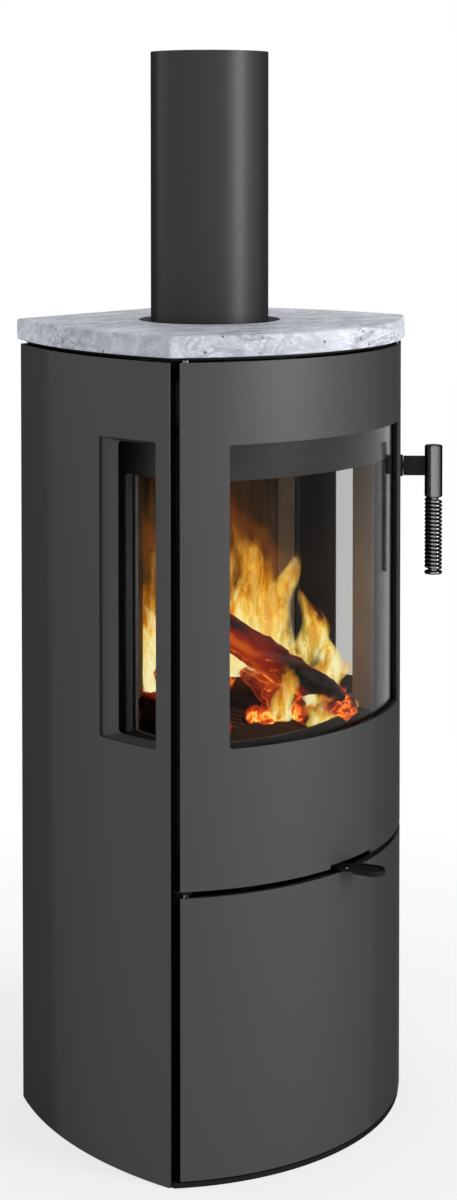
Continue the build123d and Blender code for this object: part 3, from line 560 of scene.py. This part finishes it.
def make_metal(name, color, roughness, grain_scale, grain_depth):
    """Bare or plated metal with fine grain, its colour darkened towards its outline as painted shade."""
    material, tree, shader = start_material(name, color, roughness, metallic=1.0)
    shader.inputs["Specular Tint"].default_value = (0.05, 0.05, 0.05, 1.0)
    slant = tree.nodes.new("ShaderNodeLayerWeight")
    slant.inputs["Blend"].default_value = 0.5
    # Painted shade: where the surface turns away, towards its outline, the colour falls to 0.12 of itself.
    painted_rim_shade = stretch(tree, slant.outputs["Facing"], 0.02, 0.36)
    shade = blend_colors(tree, painted_rim_shade, color, tuple(c * 0.12 for c in color))
    tree.links.new(shade, shader.inputs["Base Color"])
    grain = placed_group(tree, "Surface grain", Scale=grain_scale, Depth=grain_depth)
    tree.links.new(grain.outputs["Normal"], shader.inputs["Normal"])
    sheen = stretch(tree, grain.outputs["Mask"], 0.3, 0.7, roughness * 0.8, roughness * 1.2)
    tree.links.new(sheen, shader.inputs["Roughness"])
    return material


def make_charred_wood():
    """Split wood burnt dark red, with glowing cracks that run along its grain.

    The mesh carries the grain: the place of each point in the log as it was before it was laid."""
    material, tree, shader = start_material("charred_wood", (0.03, 0.012, 0.008), 0.42, specular=0.22)
    grain = tree.nodes.new("ShaderNodeAttribute")
    grain.attribute_name = "grain"
    along = tree.nodes.new("ShaderNodeMapping")
    along.inputs["Scale"].default_value = (1.0, 1.0, 0.20)
    tree.links.new(grain.outputs["Vector"], along.inputs["Vector"])
    glow = placed_group(tree, "Ember glow", Scale=36.0, Crack_Width=0.030, Patch_Scale=22.0)
    tree.links.new(along.outputs["Vector"], glow.inputs["Vector"])
    haze = placed_group(
        tree, "Soot haze", Clean=(0.030, 0.004, 0.002), Sooted=(0.006, 0.002, 0.0015), Scale=30.0)
    tree.links.new(haze.outputs["Color"], shader.inputs["Base Color"])
    tree.links.new(glow.outputs["Color"], shader.inputs["Emission Color"])
    shader.inputs["Emission Strength"].default_value = 1.7
    fibres = noise(tree, 120.0, detail=4.0, vector=along.outputs["Vector"])
    height = calculate(tree, "SUBTRACT", fibres.outputs["Fac"], glow.outputs["Cracks"])
    tree.links.new(bump(tree, height, 0.8, 0.0015), shader.inputs["Normal"])
    return material


def make_ember():
    material, tree, shader = start_material("ember", (0.02, 0.012, 0.01), 0.85, specular=0.2)
    glow = placed_group(tree, "Ember glow", Scale=46.0, Crack_Width=0.12, Patch_Scale=20.0)
    tree.links.new(object_coordinates(tree), glow.inputs["Vector"])
    tree.links.new(glow.outputs["Color"], shader.inputs["Emission Color"])
    shader.inputs["Emission Strength"].default_value = 2.6
    ash = placed_group(
        tree, "Soot haze", Clean=(0.012, 0.009, 0.008), Sooted=(0.10, 0.085, 0.075), Scale=45.0,
        Clear_Below=0.52, Full_Above=0.72)
    tree.links.new(ash.outputs["Color"], shader.inputs["Base Color"])
    return material


def make_flame(settings):
    """Burning gas: bright at the root and orange at the tip, fading out at its rim.

    The mesh carries two values made with its form: warmth falls by 1 from the root to the tip,
    and body from the thin rim (0) to the thick middle (1)."""
    material, tree, shader = start_material("flame", (0.0, 0.0, 0.0), 1.0, specular=0.0)
    warmth_node = tree.nodes.new("ShaderNodeAttribute")
    warmth_node.attribute_name = "warmth"
    body_node = tree.nodes.new("ShaderNodeAttribute")
    body_node.attribute_name = "body"
    place = object_coordinates(tree)
    rising = tree.nodes.new("ShaderNodeMapping")
    rising.inputs["Scale"].default_value = (1.0, 1.0, 0.27)
    tree.links.new(place, rising.inputs["Vector"])
    wisps = noise(tree, 40.0, detail=3.0, roughness=0.5, vector=rising.outputs["Vector"])
    wisps.inputs["Distortion"].default_value = 1.3
    ripple = stretch(tree, wisps.outputs["Fac"], 0.34, 0.66, -0.50, 0.50)
    threads = noise(tree, 60.0, detail=2.0, roughness=0.5, vector=rising.outputs["Vector"])
    threads.inputs["Distortion"].default_value = 2.0
    ridge = from_middle(tree, threads.outputs["Fac"])
    thread = stretch(tree, ridge, 0.0, 0.035, 0.28, 0.0)
    hot = calculate(tree, "ADD", warmth_node.outputs["Fac"], calculate(tree, "ADD", ripple, thread))
    ramp = tree.nodes.new("ShaderNodeValToRGB")
    ramp.color_ramp.elements[0].color = (*settings.flame_tip, 1.0)
    ramp.color_ramp.elements[1].color = (1.0, 0.93, 0.50, 1.0)
    ramp.color_ramp.elements.new(0.36).color = (*settings.flame_body, 1.0)
    ramp.color_ramp.elements.new(0.72).color = (*settings.flame_core, 1.0)
    tree.links.new(hot, ramp.inputs["Fac"])
    tree.links.new(ramp.outputs["Color"], shader.inputs["Emission Color"])
    shader.inputs["Emission Strength"].default_value = settings.flame_strength
    thick = calculate(tree, "ADD", calculate(tree, "MULTIPLY", ripple, 1.4), 0.90)
    thick = calculate(tree, "ADD", thick, calculate(tree, "MULTIPLY", thread, 1.2))
    thick = calculate(tree, "MULTIPLY", thick, body_node.outputs["Fac"])
    fading = stretch(tree, warmth_node.outputs["Fac"], 0.0, 0.50, 0.18, 1.0)
    alpha = calculate(tree, "MULTIPLY", stretch(tree, thick, 0.12, 1.05, 0.0, 0.86), fading)
    tree.links.new(alpha, shader.inputs["Alpha"])
    return material


finishes = {}


class STOVE_OT_finishes(bpy.types.Operator):
    """Makes every finish and gives the CAD parts theirs"""

    bl_idname = "stove.finishes"
    bl_label = "Make Finishes"

    def execute(self, context):
        sheet = context.scene.stove_sheet
        fire = context.scene.stove_fire
        make_grain_group()
        make_haze_group()
        make_glow_group()
        finishes.update({
            "casing_paint": make_paint(
                "casing_paint", tuple(sheet.casing_color), sheet.casing_roughness, flake=0.6),
            "black_paint": make_paint("black_paint", (0.020, 0.020, 0.020), 0.5, flake=0.4),
            "flue_paint": make_paint("flue_paint", (0.052, 0.052, 0.053), 0.42, flake=0.6),
            "stone": make_stone(sheet),
            "cast_iron": make_cast_iron(),
            "firebox_steel": make_firebox_steel(),
            "fire_board": make_fire_board(),
            "glass": make_glass(),
            "seal": make_seal(),
            "bright_steel": make_metal("bright_steel", (0.27, 0.27, 0.272), 0.07, 300.0, 0.00002),
            "steel": make_metal("steel", (0.45, 0.45, 0.46), 0.32, 700.0, 0.00005),
            "charred_wood": make_charred_wood(),
            "ember": make_ember(),
            "flame": make_flame(fire),
        })
        for part in frame["record"]["subparts"]:
            give(frame["nodes"][part["node"]], finishes[part["material_slot"]])
        return {"FINISHED"}


# Casing and stone

def softened(node, width, segments, material):
    """A copy of the CAD piece with its sharp edges rounded over a little."""
    piece = merged_copy(node, SHEET_PIECES.get(node, node + "_dressed"))
    rounding = piece.modifiers.new("rounded edges", "BEVEL")
    rounding.width = width
    rounding.segments = segments
    rounding.limit_method = "ANGLE"
    rounding.angle_limit = math.radians(EDGE_ANGLE)
    rounding.use_clamp_overlap = True
    apply_modifiers(piece)
    smooth(piece, SHADE_ANGLE)
    even = piece.modifiers.new("even shading", "WEIGHTED_NORMAL")
    even.keep_sharp = True
    apply_modifiers(piece)
    give(piece, finishes[material])
    return piece


class STOVE_OT_casing(bpy.types.Operator):
    """Rounds the cut edges of the casing and door sheets"""

    bl_idname = "stove.casing"
    bl_label = "Add Casing Sheets"

    def execute(self, context):
        width = context.scene.stove_sheet.edge_radius
        slots = {p["node"]: p["material_slot"] for p in frame["record"]["subparts"]}
        for node in SHEET_PIECES:
            piece = softened(node, width, 2, slots[node])
            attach(piece, BODY_OF_SHEET.get(node, "stove_body"))
            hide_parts(node)
        return {"FINISHED"}


def select_where(piece, kind, parts, wanted):
    """Leaves edit mode on, with just the wanted faces or vertices selected."""
    bpy.ops.object.mode_set(mode="EDIT")
    bpy.ops.mesh.select_mode(type=kind)
    bpy.ops.mesh.select_all(action="DESELECT")
    bpy.ops.object.mode_set(mode="OBJECT")
    for part in parts:
        part.select = wanted(part)
    bpy.ops.object.mode_set(mode="EDIT")


def turned_in_edge(name, side):
    """The flange in one window's cut-out: a short splayed sleeve, cut to the curve of the side sheet."""
    low, high = Vector(FLANGE_LOW), Vector(FLANGE_HIGH)
    middle = (low + high) / 2
    bpy.ops.mesh.primitive_cube_add(size=1.0, location=(side * middle.x, middle.y, middle.z))
    flange = bpy.context.object
    flange.name = name
    flange.scale = high - low
    apply_place(flange)
    select_where(flange, "FACE", flange.data.polygons, lambda face: abs(face.normal.x) > 0.9)
    bpy.ops.mesh.delete(type="ONLY_FACE")
    select_where(flange, "VERT", flange.data.vertices, lambda vertex: abs(vertex.co.x) < middle.x)
    bpy.ops.transform.resize(value=FLANGE_TAPER)
    bpy.ops.transform.translate(value=(0.0, FLANGE_SHIFT, 0.0))
    bpy.ops.object.mode_set(mode="OBJECT")
    corners = flange.modifiers.new("rounded corners", "BEVEL")
    corners.width = FLANGE_CORNER
    corners.segments = 4
    corners.limit_method = "ANGLE"
    sheet = flange.modifiers.new("sheet", "SOLIDIFY")
    sheet.thickness = FLANGE_SHEET
    sheet.offset = 1.0
    bpy.ops.mesh.primitive_cylinder_add(
        vertices=256, radius=FLANGE_CURVE, depth=2.0, location=(-side * SIDE_CENTRE[0], SIDE_CENTRE[1], 0.7))
    curve = bpy.context.object
    fitted = flange.modifiers.new("fitted", "BOOLEAN")
    fitted.operation = "INTERSECT"
    fitted.solver = "MANIFOLD"
    fitted.object = curve
    apply_modifiers(flange)
    pick(curve)
    bpy.ops.object.delete()
    return flange


class STOVE_OT_flanges(bpy.types.Operator):
    """Turns in the edges of the two window cut-outs"""

    bl_idname = "stove.flanges"
    bl_label = "Add Window Flanges"

    def execute(self, context):
        for name, side in (("left_window_flange", -1.0), ("right_window_flange", 1.0)):
            flange = turned_in_edge(name, side)
            smooth(flange, SHADE_ANGLE)
            give(flange, finishes["casing_paint"])
            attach(flange, "stove_body")
        return {"FINISHED"}


class STOVE_OT_stone(bpy.types.Operator):
    """Hones the edges of the stone slab"""

    bl_idname = "stove.stone"
    bl_label = "Add Stone Top"

    def execute(self, context):
        piece = softened("stone_top", context.scene.stove_sheet.stone_edge, 3, "stone")
        piece.name = "stone_slab"
        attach(piece, "stove_body")
        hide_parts("stone_top")
        return {"FINISHED"}


# Fire

def make_log(name, radius, length, split_at, seed):
    """A rough log lying along X about the origin, split lengthways where split_at says."""
    draw = random.Random(seed)
    bpy.ops.mesh.primitive_circle_add(vertices=LOG_SIDES, radius=radius, fill_type="NGON")
    log = bpy.context.object
    log.name = name
    bpy.ops.object.mode_set(mode="EDIT")
    bpy.ops.mesh.select_all(action="SELECT")
    for _ in range(LOG_RINGS):
        bpy.ops.mesh.extrude_region_move(TRANSFORM_OT_translate={"value": (
            draw.uniform(-0.0016, 0.0016), draw.uniform(-0.0016, 0.0016), length / LOG_RINGS)})
        swell = draw.uniform(0.94, 1.06)
        bpy.ops.transform.resize(value=(swell, swell / draw.uniform(0.96, 1.05), 1.0))
    bpy.ops.mesh.select_all(action="SELECT")
    bpy.ops.mesh.normals_make_consistent(inside=False)
    bpy.ops.mesh.bisect(
        plane_co=(0.0, radius * split_at, 0.0), plane_no=(0.12, 1.0, 0.0),
        use_fill=True, clear_outer=True)
    bpy.ops.mesh.select_all(action="SELECT")
    bpy.ops.mesh.normals_make_consistent(inside=False)
    bpy.ops.object.mode_set(mode="OBJECT")
    finer = log.modifiers.new("finer", "SUBSURF")
    finer.subdivision_type = "SIMPLE"
    finer.levels = finer.render_levels = 2
    rough_bark = bpy.data.textures.new(name + "_bark", "CLOUDS")
    rough_bark.noise_scale = BARK_GRAIN
    bark = log.modifiers.new("bark", "DISPLACE")
    bark.texture = rough_bark
    bark.texture_coords = "LOCAL"
    bark.strength = BARK_DEPTH
    bark.mid_level = 0.5
    apply_modifiers(log)
    grain = log.data.attributes.new("grain", "FLOAT_VECTOR", "POINT")
    for vertex in log.data.vertices:
        grain.data[vertex.index].vector = vertex.co + Vector((seed * 0.1, 0.0, 0.0))
    log.rotation_euler = (0.0, math.radians(90), 0.0)
    log.location = (-length / 2, 0.0, 0.0)
    apply_place(log)
    smooth(log, 55)
    return log


def lay(piece, place, turn):
    """Puts a piece made about the origin in its place in the fire."""
    piece.rotation_euler = [math.radians(t) for t in turn]
    piece.location = place
    apply_place(piece)


def fire_floor():
    """Height of the grate, on which the fire lies, in metres."""
    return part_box("grate")[1].z


LOG_SIDES = 14
LOG_RINGS = 9
BARK_GRAIN = 0.022
BARK_DEPTH = 0.015
# A log: split, seed, length, middle above the grate, turns that lay it.
LOGS = {
    "log_back": (0.20, 11, 0.190, (-0.010, 0.050, 0.040), (18.0, -3.0, 4.0)),
    "log_left": (0.35, 23, 0.150, (-0.092, -0.010, 0.036), (65.0, 6.0, -78.0)),
    "log_right": (0.15, 37, 0.150, (0.060, -0.030, 0.038), (-30.0, 4.0, 48.0)),
    "log_front": (0.30, 51, 0.215, (0.012, -0.092, 0.104), (100.0, 34.0, -16.0)),
    "log_top": (0.45, 68, 0.180, (-0.020, 0.004, 0.108), (110.0, -16.0, 28.0)),
}


class STOVE_OT_logs(bpy.types.Operator):
    """Lays the split logs on the grate"""

    bl_idname = "stove.logs"
    bl_label = "Add Logs"

    def execute(self, context):
        fire = context.scene.stove_fire
        for name, (split_at, seed, length, place, turn) in LOGS.items():
            log = make_log(name, fire.log_radius, length * fire.log_share, split_at, seed)
            lay(log, (place[0], place[1], fire_floor() + place[2]), turn)
            give(log, finishes["charred_wood"])
            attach(log, "stove_body")
        return {"FINISHED"}


def make_ember_form(name, seed):
    """One lump of burnt wood at unit size, broken into facets, each seed in its own place in the texture."""
    bpy.ops.mesh.primitive_ico_sphere_add(subdivisions=2, radius=1.0)
    lump = bpy.context.object
    lump.name = name
    rough = bpy.data.textures.new(name + "_shape", "VORONOI")
    rough.noise_scale = 1.1
    broken = lump.modifiers.new("broken", "DISPLACE")
    broken.texture = rough
    broken.strength = 0.55
    broken.mid_level = 0.4
    lump.location = (seed * 0.7, seed * 0.3, 0.0)
    apply_place(lump)
    apply_modifiers(lump)
    lump.location = (-seed * 0.7, -seed * 0.3, 0.0)
    apply_place(lump)
    return lump


# A heap of embers: its middle on the grate, half its length and width, and how high it lies.
EMBER_HEAPS = (
    ((0.066, -0.084), 0.056, 0.044, 0.006),
    ((0.070, -0.118), 0.046, 0.020, 0.018),
    ((0.104, -0.110), 0.026, 0.024, 0.016),
    ((-0.082, 0.006), 0.034, 0.030, 0.012),
)
EMBER_FORMS = 4
# Cosine and sine of the heaps' turn: their length runs from the left back to the right front.
HEAP_TURN = (0.664, 0.749)


class STOVE_OT_embers(bpy.types.Operator):
    """Heaps the glowing embers under the logs"""

    bl_idname = "stove.embers"
    bl_label = "Add Embers"

    def execute(self, context):
        fire = context.scene.stove_fire
        draw = random.Random(7)
        forms = [make_ember_form(f"ember_form_{n}", n) for n in range(EMBER_FORMS)]
        lumps = []
        for index in range(fire.ember_count):
            lump = own_copy(forms[index % len(forms)])
            size = fire.ember_size * draw.uniform(0.45, 1.0)
            angle = draw.uniform(0.0, math.tau)
            reach = math.sqrt(draw.random())
            middle, long_half, short_half, lift = EMBER_HEAPS[index % len(EMBER_HEAPS)]
            along, across = long_half * reach * math.cos(angle), short_half * reach * math.sin(angle)
            x = middle[0] + HEAP_TURN[0] * along + HEAP_TURN[1] * across
            y = middle[1] - HEAP_TURN[1] * along + HEAP_TURN[0] * across
            lump.scale = (size, size * draw.uniform(0.6, 0.9), size * draw.uniform(0.5, 0.8))
            lump.rotation_euler = [draw.uniform(0.0, math.tau) for _ in range(3)]
            heaped = 0.022 * (1.0 - reach) * draw.uniform(0.4, 1.0)
            lump.location = (x, y, fire_floor() + lift + 0.006 + heaped)
            apply_place(lump)
            lumps.append(lump)
        for form in forms:
            pick(form)
            bpy.ops.object.delete()
        bed = join(lumps, "ember_bed")
        give(bed, finishes["ember"])
        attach(bed, "stove_body")
        return {"FINISHED"}


# A flame: x, y, root above the grate, share of the full height, width, lean to the right, turn, heat, seed.
FLAMES = {
    "flame_far_left": (-0.098, 0.010, 0.014, 0.52, 0.084, 0.000, -42.0, 1.46, 3),
    "flame_left_tall": (-0.084, 0.034, 0.040, 0.54, 0.100, 0.000, -48.0, 0.95, 5),
    "flame_left_low": (-0.106, -0.006, 0.014, 0.34, 0.070, 0.002, -56.0, 1.61, 21),
    "flame_back": (-0.040, 0.050, 0.040, 0.70, 0.120, 0.004, -52.0, 0.83, 8),
    "flame_middle": (-0.010, -0.005, 0.060, 0.72, 0.130, 0.002, -48.0, 0.79, 55),
    "flame_behind": (0.050, 0.006, 0.050, 0.66, 0.130, 0.000, -46.0, 0.68, 13),
    "flame_log_left": (0.012, -0.050, 0.080, 0.64, 0.110, 0.002, -47.0, 0.86, 144),
    "flame_log_middle": (0.034, -0.060, 0.070, 0.66, 0.096, 0.000, -50.0, 0.86, 233),
    "flame_log_right": (0.056, -0.070, 0.056, 0.60, 0.086, 0.002, -46.0, 1.01, 377),
    "flame_right": (0.072, -0.094, 0.030, 0.50, 0.090, 0.004, -50.0, 1.16, 610),
    "flame_right_front": (0.060, -0.126, 0.012, 0.34, 0.060, 0.004, -44.0, 0.96, 377),
    "flame_far_right": (0.090, -0.112, 0.016, 0.40, 0.072, 0.004, -46.0, 1.24, 987),
    "flame_corner": (0.106, -0.116, 0.014, 0.25, 0.060, 0.004, -48.0, 0.96, 89),
    "flame_low_corner": (0.112, -0.130, 0.012, 0.13, 0.060, 0.000, -50.0, 0.79, 1597),
    "flame_low_right": (0.084, -0.136, 0.008, 0.15, 0.074, 0.002, -44.0, 0.86, 2584),
    "flame_low_front": (0.048, -0.138, 0.008, 0.15, 0.070, 0.004, -40.0, 0.79, 6765),
    "flame_haze_right": (0.034, -0.024, 0.080, 0.88, 0.170, 0.000, -48.0, 0.20, 17),
    "flame_haze_left": (-0.086, 0.022, 0.060, 0.84, 0.120, 0.000, -48.0, 0.25, 29),
    "flame_over_log": (0.006, -0.116, 0.020, 0.32, 0.052, 0.004, -48.0, 0.69, 34),
}
# Rings and sides of a flame, its depth against its width, and the least share of the width at its tip.
FLAME_STEPS = 18
FLAME_SIDES = 12
FLAME_THICKNESS = 0.42
FLAME_POINT = 0.012


def flame_width(share):
    """Share of the flame's own width at a share of its height: fullest a quarter up, pointed at the tip."""
    return (0.55 + 0.9 * share) * (1.0 - share) ** 0.85


def make_flame_form(name, height, width, lean, heat, seed):
    """A flat tapering tongue that sways as it rises, extruded ring by ring from its root."""
    draw = random.Random(seed)
    phase = draw.uniform(0.0, math.tau)
    waves = draw.uniform(1.1, 1.7)
    sway = width * draw.uniform(0.10, 0.20)
    bpy.ops.mesh.primitive_circle_add(vertices=FLAME_SIDES, radius=width / 2, fill_type="NGON")
    flame = bpy.context.object
    flame.name = name
    flame.scale = (flame_width(0.0), flame_width(0.0) * FLAME_THICKNESS, 1.0)
    apply_place(flame)
    bpy.ops.object.mode_set(mode="EDIT")
    bpy.ops.mesh.select_all(action="SELECT")

    def drift(share):
        wave = math.sin(phase + waves * math.tau * share)
        return 3.0 * lean * share * share + sway * share ** 0.7 * wave

    for step in range(1, FLAME_STEPS + 1):
        share, before = step / FLAME_STEPS, (step - 1) / FLAME_STEPS
        bpy.ops.mesh.extrude_region_move(TRANSFORM_OT_translate={"value": (
            drift(share) - drift(before), 0.3 * (drift(before) - drift(share)), height / FLAME_STEPS)})
        size = max(flame_width(share), FLAME_POINT) / max(flame_width(before), FLAME_POINT)
        bpy.ops.transform.resize(value=(size, size, 1.0))
    bpy.ops.mesh.select_all(action="SELECT")
    bpy.ops.mesh.normals_make_consistent(inside=False)
    bpy.ops.object.mode_set(mode="OBJECT")
    mark_flame(flame, height, heat)
    finer = flame.modifiers.new("finer", "SUBSURF")
    finer.levels = finer.render_levels = 1
    apply_modifiers(flame)
    smooth(flame, 180)
    return flame


def mark_flame(flame, height, root_heat):
    """Writes the warmth and body values that the flame material reads."""
    mesh = flame.data
    warmth = mesh.attributes.new("warmth", "FLOAT", "POINT")
    body = mesh.attributes.new("body", "FLOAT", "POINT")
    rings = {}
    for vertex in mesh.vertices:
        rings.setdefault(round(vertex.co.z / height * FLAME_STEPS), []).append(vertex)
    for ring, vertices in rings.items():
        middle = sum((v.co for v in vertices), Vector()) / len(vertices)
        half = max((v.co.xy - middle.xy).length for v in vertices) or 1.0
        for vertex in vertices:
            share = ring / FLAME_STEPS
            warmth.data[vertex.index].value = root_heat - share
            off = min(1.0, abs(vertex.co.x - middle.x) / half)
            root = min(1.0, share * 5.0)
            tip = min(1.0, (1.0 - share) * 4.0)
            body.data[vertex.index].value = (1.0 - off ** 2) * (0.75 + 0.25 * root) * tip


class STOVE_OT_flames(bpy.types.Operator):
    """Raises the flames from the logs"""

    bl_idname = "stove.flames"
    bl_label = "Add Flames"

    def execute(self, context):
        fire = context.scene.stove_fire
        for name, (x, y, root, share, width, lean, turn, heat, seed) in FLAMES.items():
            flame = make_flame_form(name, fire.flame_height * share, width, lean, heat, seed)
            lay(flame, (x, y, fire_floor() + root), (0.0, 0.0, turn))
            give(flame, finishes["flame"])
            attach(flame, "stove_body")
        return {"FINISHED"}


# Studio

CAMERA_PLACE = (-2.1758, -1.9332, 1.2329)
CAMERA_PITCH = 2.099
CAMERA_HEADING = 41.146
CAMERA_LENS = 68.543
CAMERA_DROP = -0.31
FLOOR_SIZE = 30.0
# A lamp: place, the point it aims at, width and height.
LAMPS = {
    "lamp_front": ((0.60, -3.10, 1.45), (0.0, 0.0, 0.75), (0.9, 1.5)),
    "lamp_side": ((-1.10, 2.85, 1.6), (0.0, 0.0, 1.1), (0.4, 1.4)),
    "lamp_top": ((0.3, -0.4, 3.2), (0.0, 0.0, 0.6), (2.0, 2.0)),
}


def add_lamp(name, power):
    place, aim, size = LAMPS[name]
    data = bpy.data.lights.new(name, "AREA")
    data.shape = "RECTANGLE"
    data.size, data.size_y = size
    data.energy = power
    lamp = bpy.data.objects.new(name, data)
    bpy.context.scene.collection.objects.link(lamp)
    lamp.location = place
    lamp.rotation_euler = (Vector(aim) - Vector(place)).to_track_quat("-Z", "Y").to_euler()
    return lamp


def white_for_seen_rays(tree):
    """1 where the ray comes from the camera, a mirror or a pane of glass."""
    path = tree.nodes.new("ShaderNodeLightPath")
    seen = calculate(tree, "MAXIMUM", path.outputs["Is Camera Ray"], path.outputs["Is Glossy Ray"])
    return calculate(tree, "MAXIMUM", seen, path.outputs["Is Transmission Ray"])


def make_world(settings):
    world = bpy.data.worlds.new("studio")
    bpy.context.scene.world = world
    world.use_nodes = True
    tree = world.node_tree
    even = tree.nodes["Background"]
    even.inputs["Color"].default_value = (1.0, 1.0, 1.0, 1.0)
    even.inputs["Strength"].default_value = settings.sky_strength
    white = tree.nodes.new("ShaderNodeBackground")
    white.inputs["Color"].default_value = (1.0, 1.0, 1.0, 1.0)
    chosen = tree.nodes.new("ShaderNodeMixShader")
    tree.links.new(white_for_seen_rays(tree), chosen.inputs["Fac"])
    tree.links.new(even.outputs["Background"], chosen.inputs[1])
    tree.links.new(white.outputs["Background"], chosen.inputs[2])
    tree.links.new(chosen.outputs["Shader"], tree.nodes["World Output"].inputs["Surface"])


def make_floor(settings):
    """A pale floor that shows white further out and keeps the stove's shadow near it."""
    bpy.ops.mesh.primitive_plane_add(size=FLOOR_SIZE, location=(0.0, 0.0, -0.0004))
    floor = bpy.context.object
    floor.name = "studio_floor"
    material, tree, shader = start_material("studio_floor", tuple(settings.floor_color), 0.9, specular=0.1)
    white = tree.nodes.new("ShaderNodeEmission")
    white.inputs["Color"].default_value = (1.0, 1.0, 1.0, 1.0)
    chosen = tree.nodes.new("ShaderNodeMixShader")
    reach = tree.nodes.new("ShaderNodeVectorMath")
    reach.operation = "LENGTH"
    tree.links.new(object_coordinates(tree), reach.inputs[0])
    near = stretch(tree, reach.outputs["Value"], 0.42, 1.25, 0.70, 1.0)
    share = calculate(tree, "MULTIPLY", white_for_seen_rays(tree), near)
    tree.links.new(share, chosen.inputs["Fac"])
    tree.links.new(shader.outputs["BSDF"], chosen.inputs[1])
    tree.links.new(white.outputs["Emission"], chosen.inputs[2])
    tree.links.new(chosen.outputs["Shader"], tree.nodes["Material Output"].inputs["Surface"])
    give(floor, material)
    return floor


def make_camera():
    data = bpy.data.cameras.new("photo_camera")
    data.lens = CAMERA_LENS
    data.sensor_width = 36.0
    data.shift_y = CAMERA_DROP
    camera = bpy.data.objects.new("photo_camera", data)
    bpy.context.scene.collection.objects.link(camera)
    camera.location = CAMERA_PLACE
    camera.rotation_euler = (math.radians(90.0 - CAMERA_PITCH), 0.0, math.radians(CAMERA_HEADING - 90.0))
    bpy.context.scene.camera = camera
    return camera


class STOVE_OT_studio(bpy.types.Operator):
    """Sets the floor, the lamps and the camera"""

    bl_idname = "stove.studio"
    bl_label = "Add Studio"

    def execute(self, context):
        studio = context.scene.stove_studio
        context.scene.view_settings.view_transform = "Standard"
        make_world(studio)
        lamps = [
            add_lamp("lamp_front", studio.key_power),
            add_lamp("lamp_side", studio.side_power),
            add_lamp("lamp_top", studio.top_power),
        ]
        glow = bpy.data.lights.new("lamp_fire", "POINT")
        glow.energy = studio.fire_power
        glow.color = (1.0, 0.55, 0.2)
        glow.shadow_soft_size = 0.05
        fire_lamp = bpy.data.objects.new("lamp_fire", glow)
        context.scene.collection.objects.link(fire_lamp)
        fire_lamp.location = (0.01, -0.05, fire_floor() + 0.16)
        fire_lamp.visible_camera = False
        fire_lamp.visible_transmission = False
        fire_lamp.visible_glossy = False
        make_floor(studio)
        make_camera()
        return {"FINISHED"}


class STOVE_PT_panel(bpy.types.Panel):
    """The steps of the stove's dressing"""

    bl_label = "Log Stove"
    bl_idname = "STOVE_PT_panel"
    bl_space_type = "VIEW_3D"
    bl_region_type = "UI"
    bl_category = "Stove"

    def draw(self, context):
        layout = self.layout
        for settings in (context.scene.stove_sheet, context.scene.stove_fire, context.scene.stove_studio):
            column = layout.column(align=True)
            for name in settings.__annotations__:
                column.prop(settings, name)
        for operator in OPERATORS:
            layout.operator(operator.bl_idname)


SETTINGS = {
    "stove_sheet": StoveSheetSettings,
    "stove_fire": StoveFireSettings,
    "stove_studio": StoveStudioSettings,
}
OPERATORS = [
    STOVE_OT_finishes,
    STOVE_OT_casing,
    STOVE_OT_flanges,
    STOVE_OT_stone,
    STOVE_OT_logs,
    STOVE_OT_embers,
    STOVE_OT_flames,
    STOVE_OT_studio,
]


def register():
    for group in SETTINGS.values():
        bpy.utils.register_class(group)
    for name, group in SETTINGS.items():
        setattr(bpy.types.Scene, name, bpy.props.PointerProperty(type=group))
    for operator in OPERATORS:
        bpy.utils.register_class(operator)
    bpy.utils.register_class(STOVE_PT_panel)


def unregister():
    bpy.utils.unregister_class(STOVE_PT_panel)
    for operator in reversed(OPERATORS):
        bpy.utils.unregister_class(operator)
    for name, group in SETTINGS.items():
        delattr(bpy.types.Scene, name)
        bpy.utils.unregister_class(group)


def main():
    register()
    deselect_all()
    for operator in OPERATORS:
        section, name = operator.bl_idname.split(".")
        getattr(getattr(bpy.ops, section), name)()
    deselect_all()


if __name__ == "__main__":
    main()
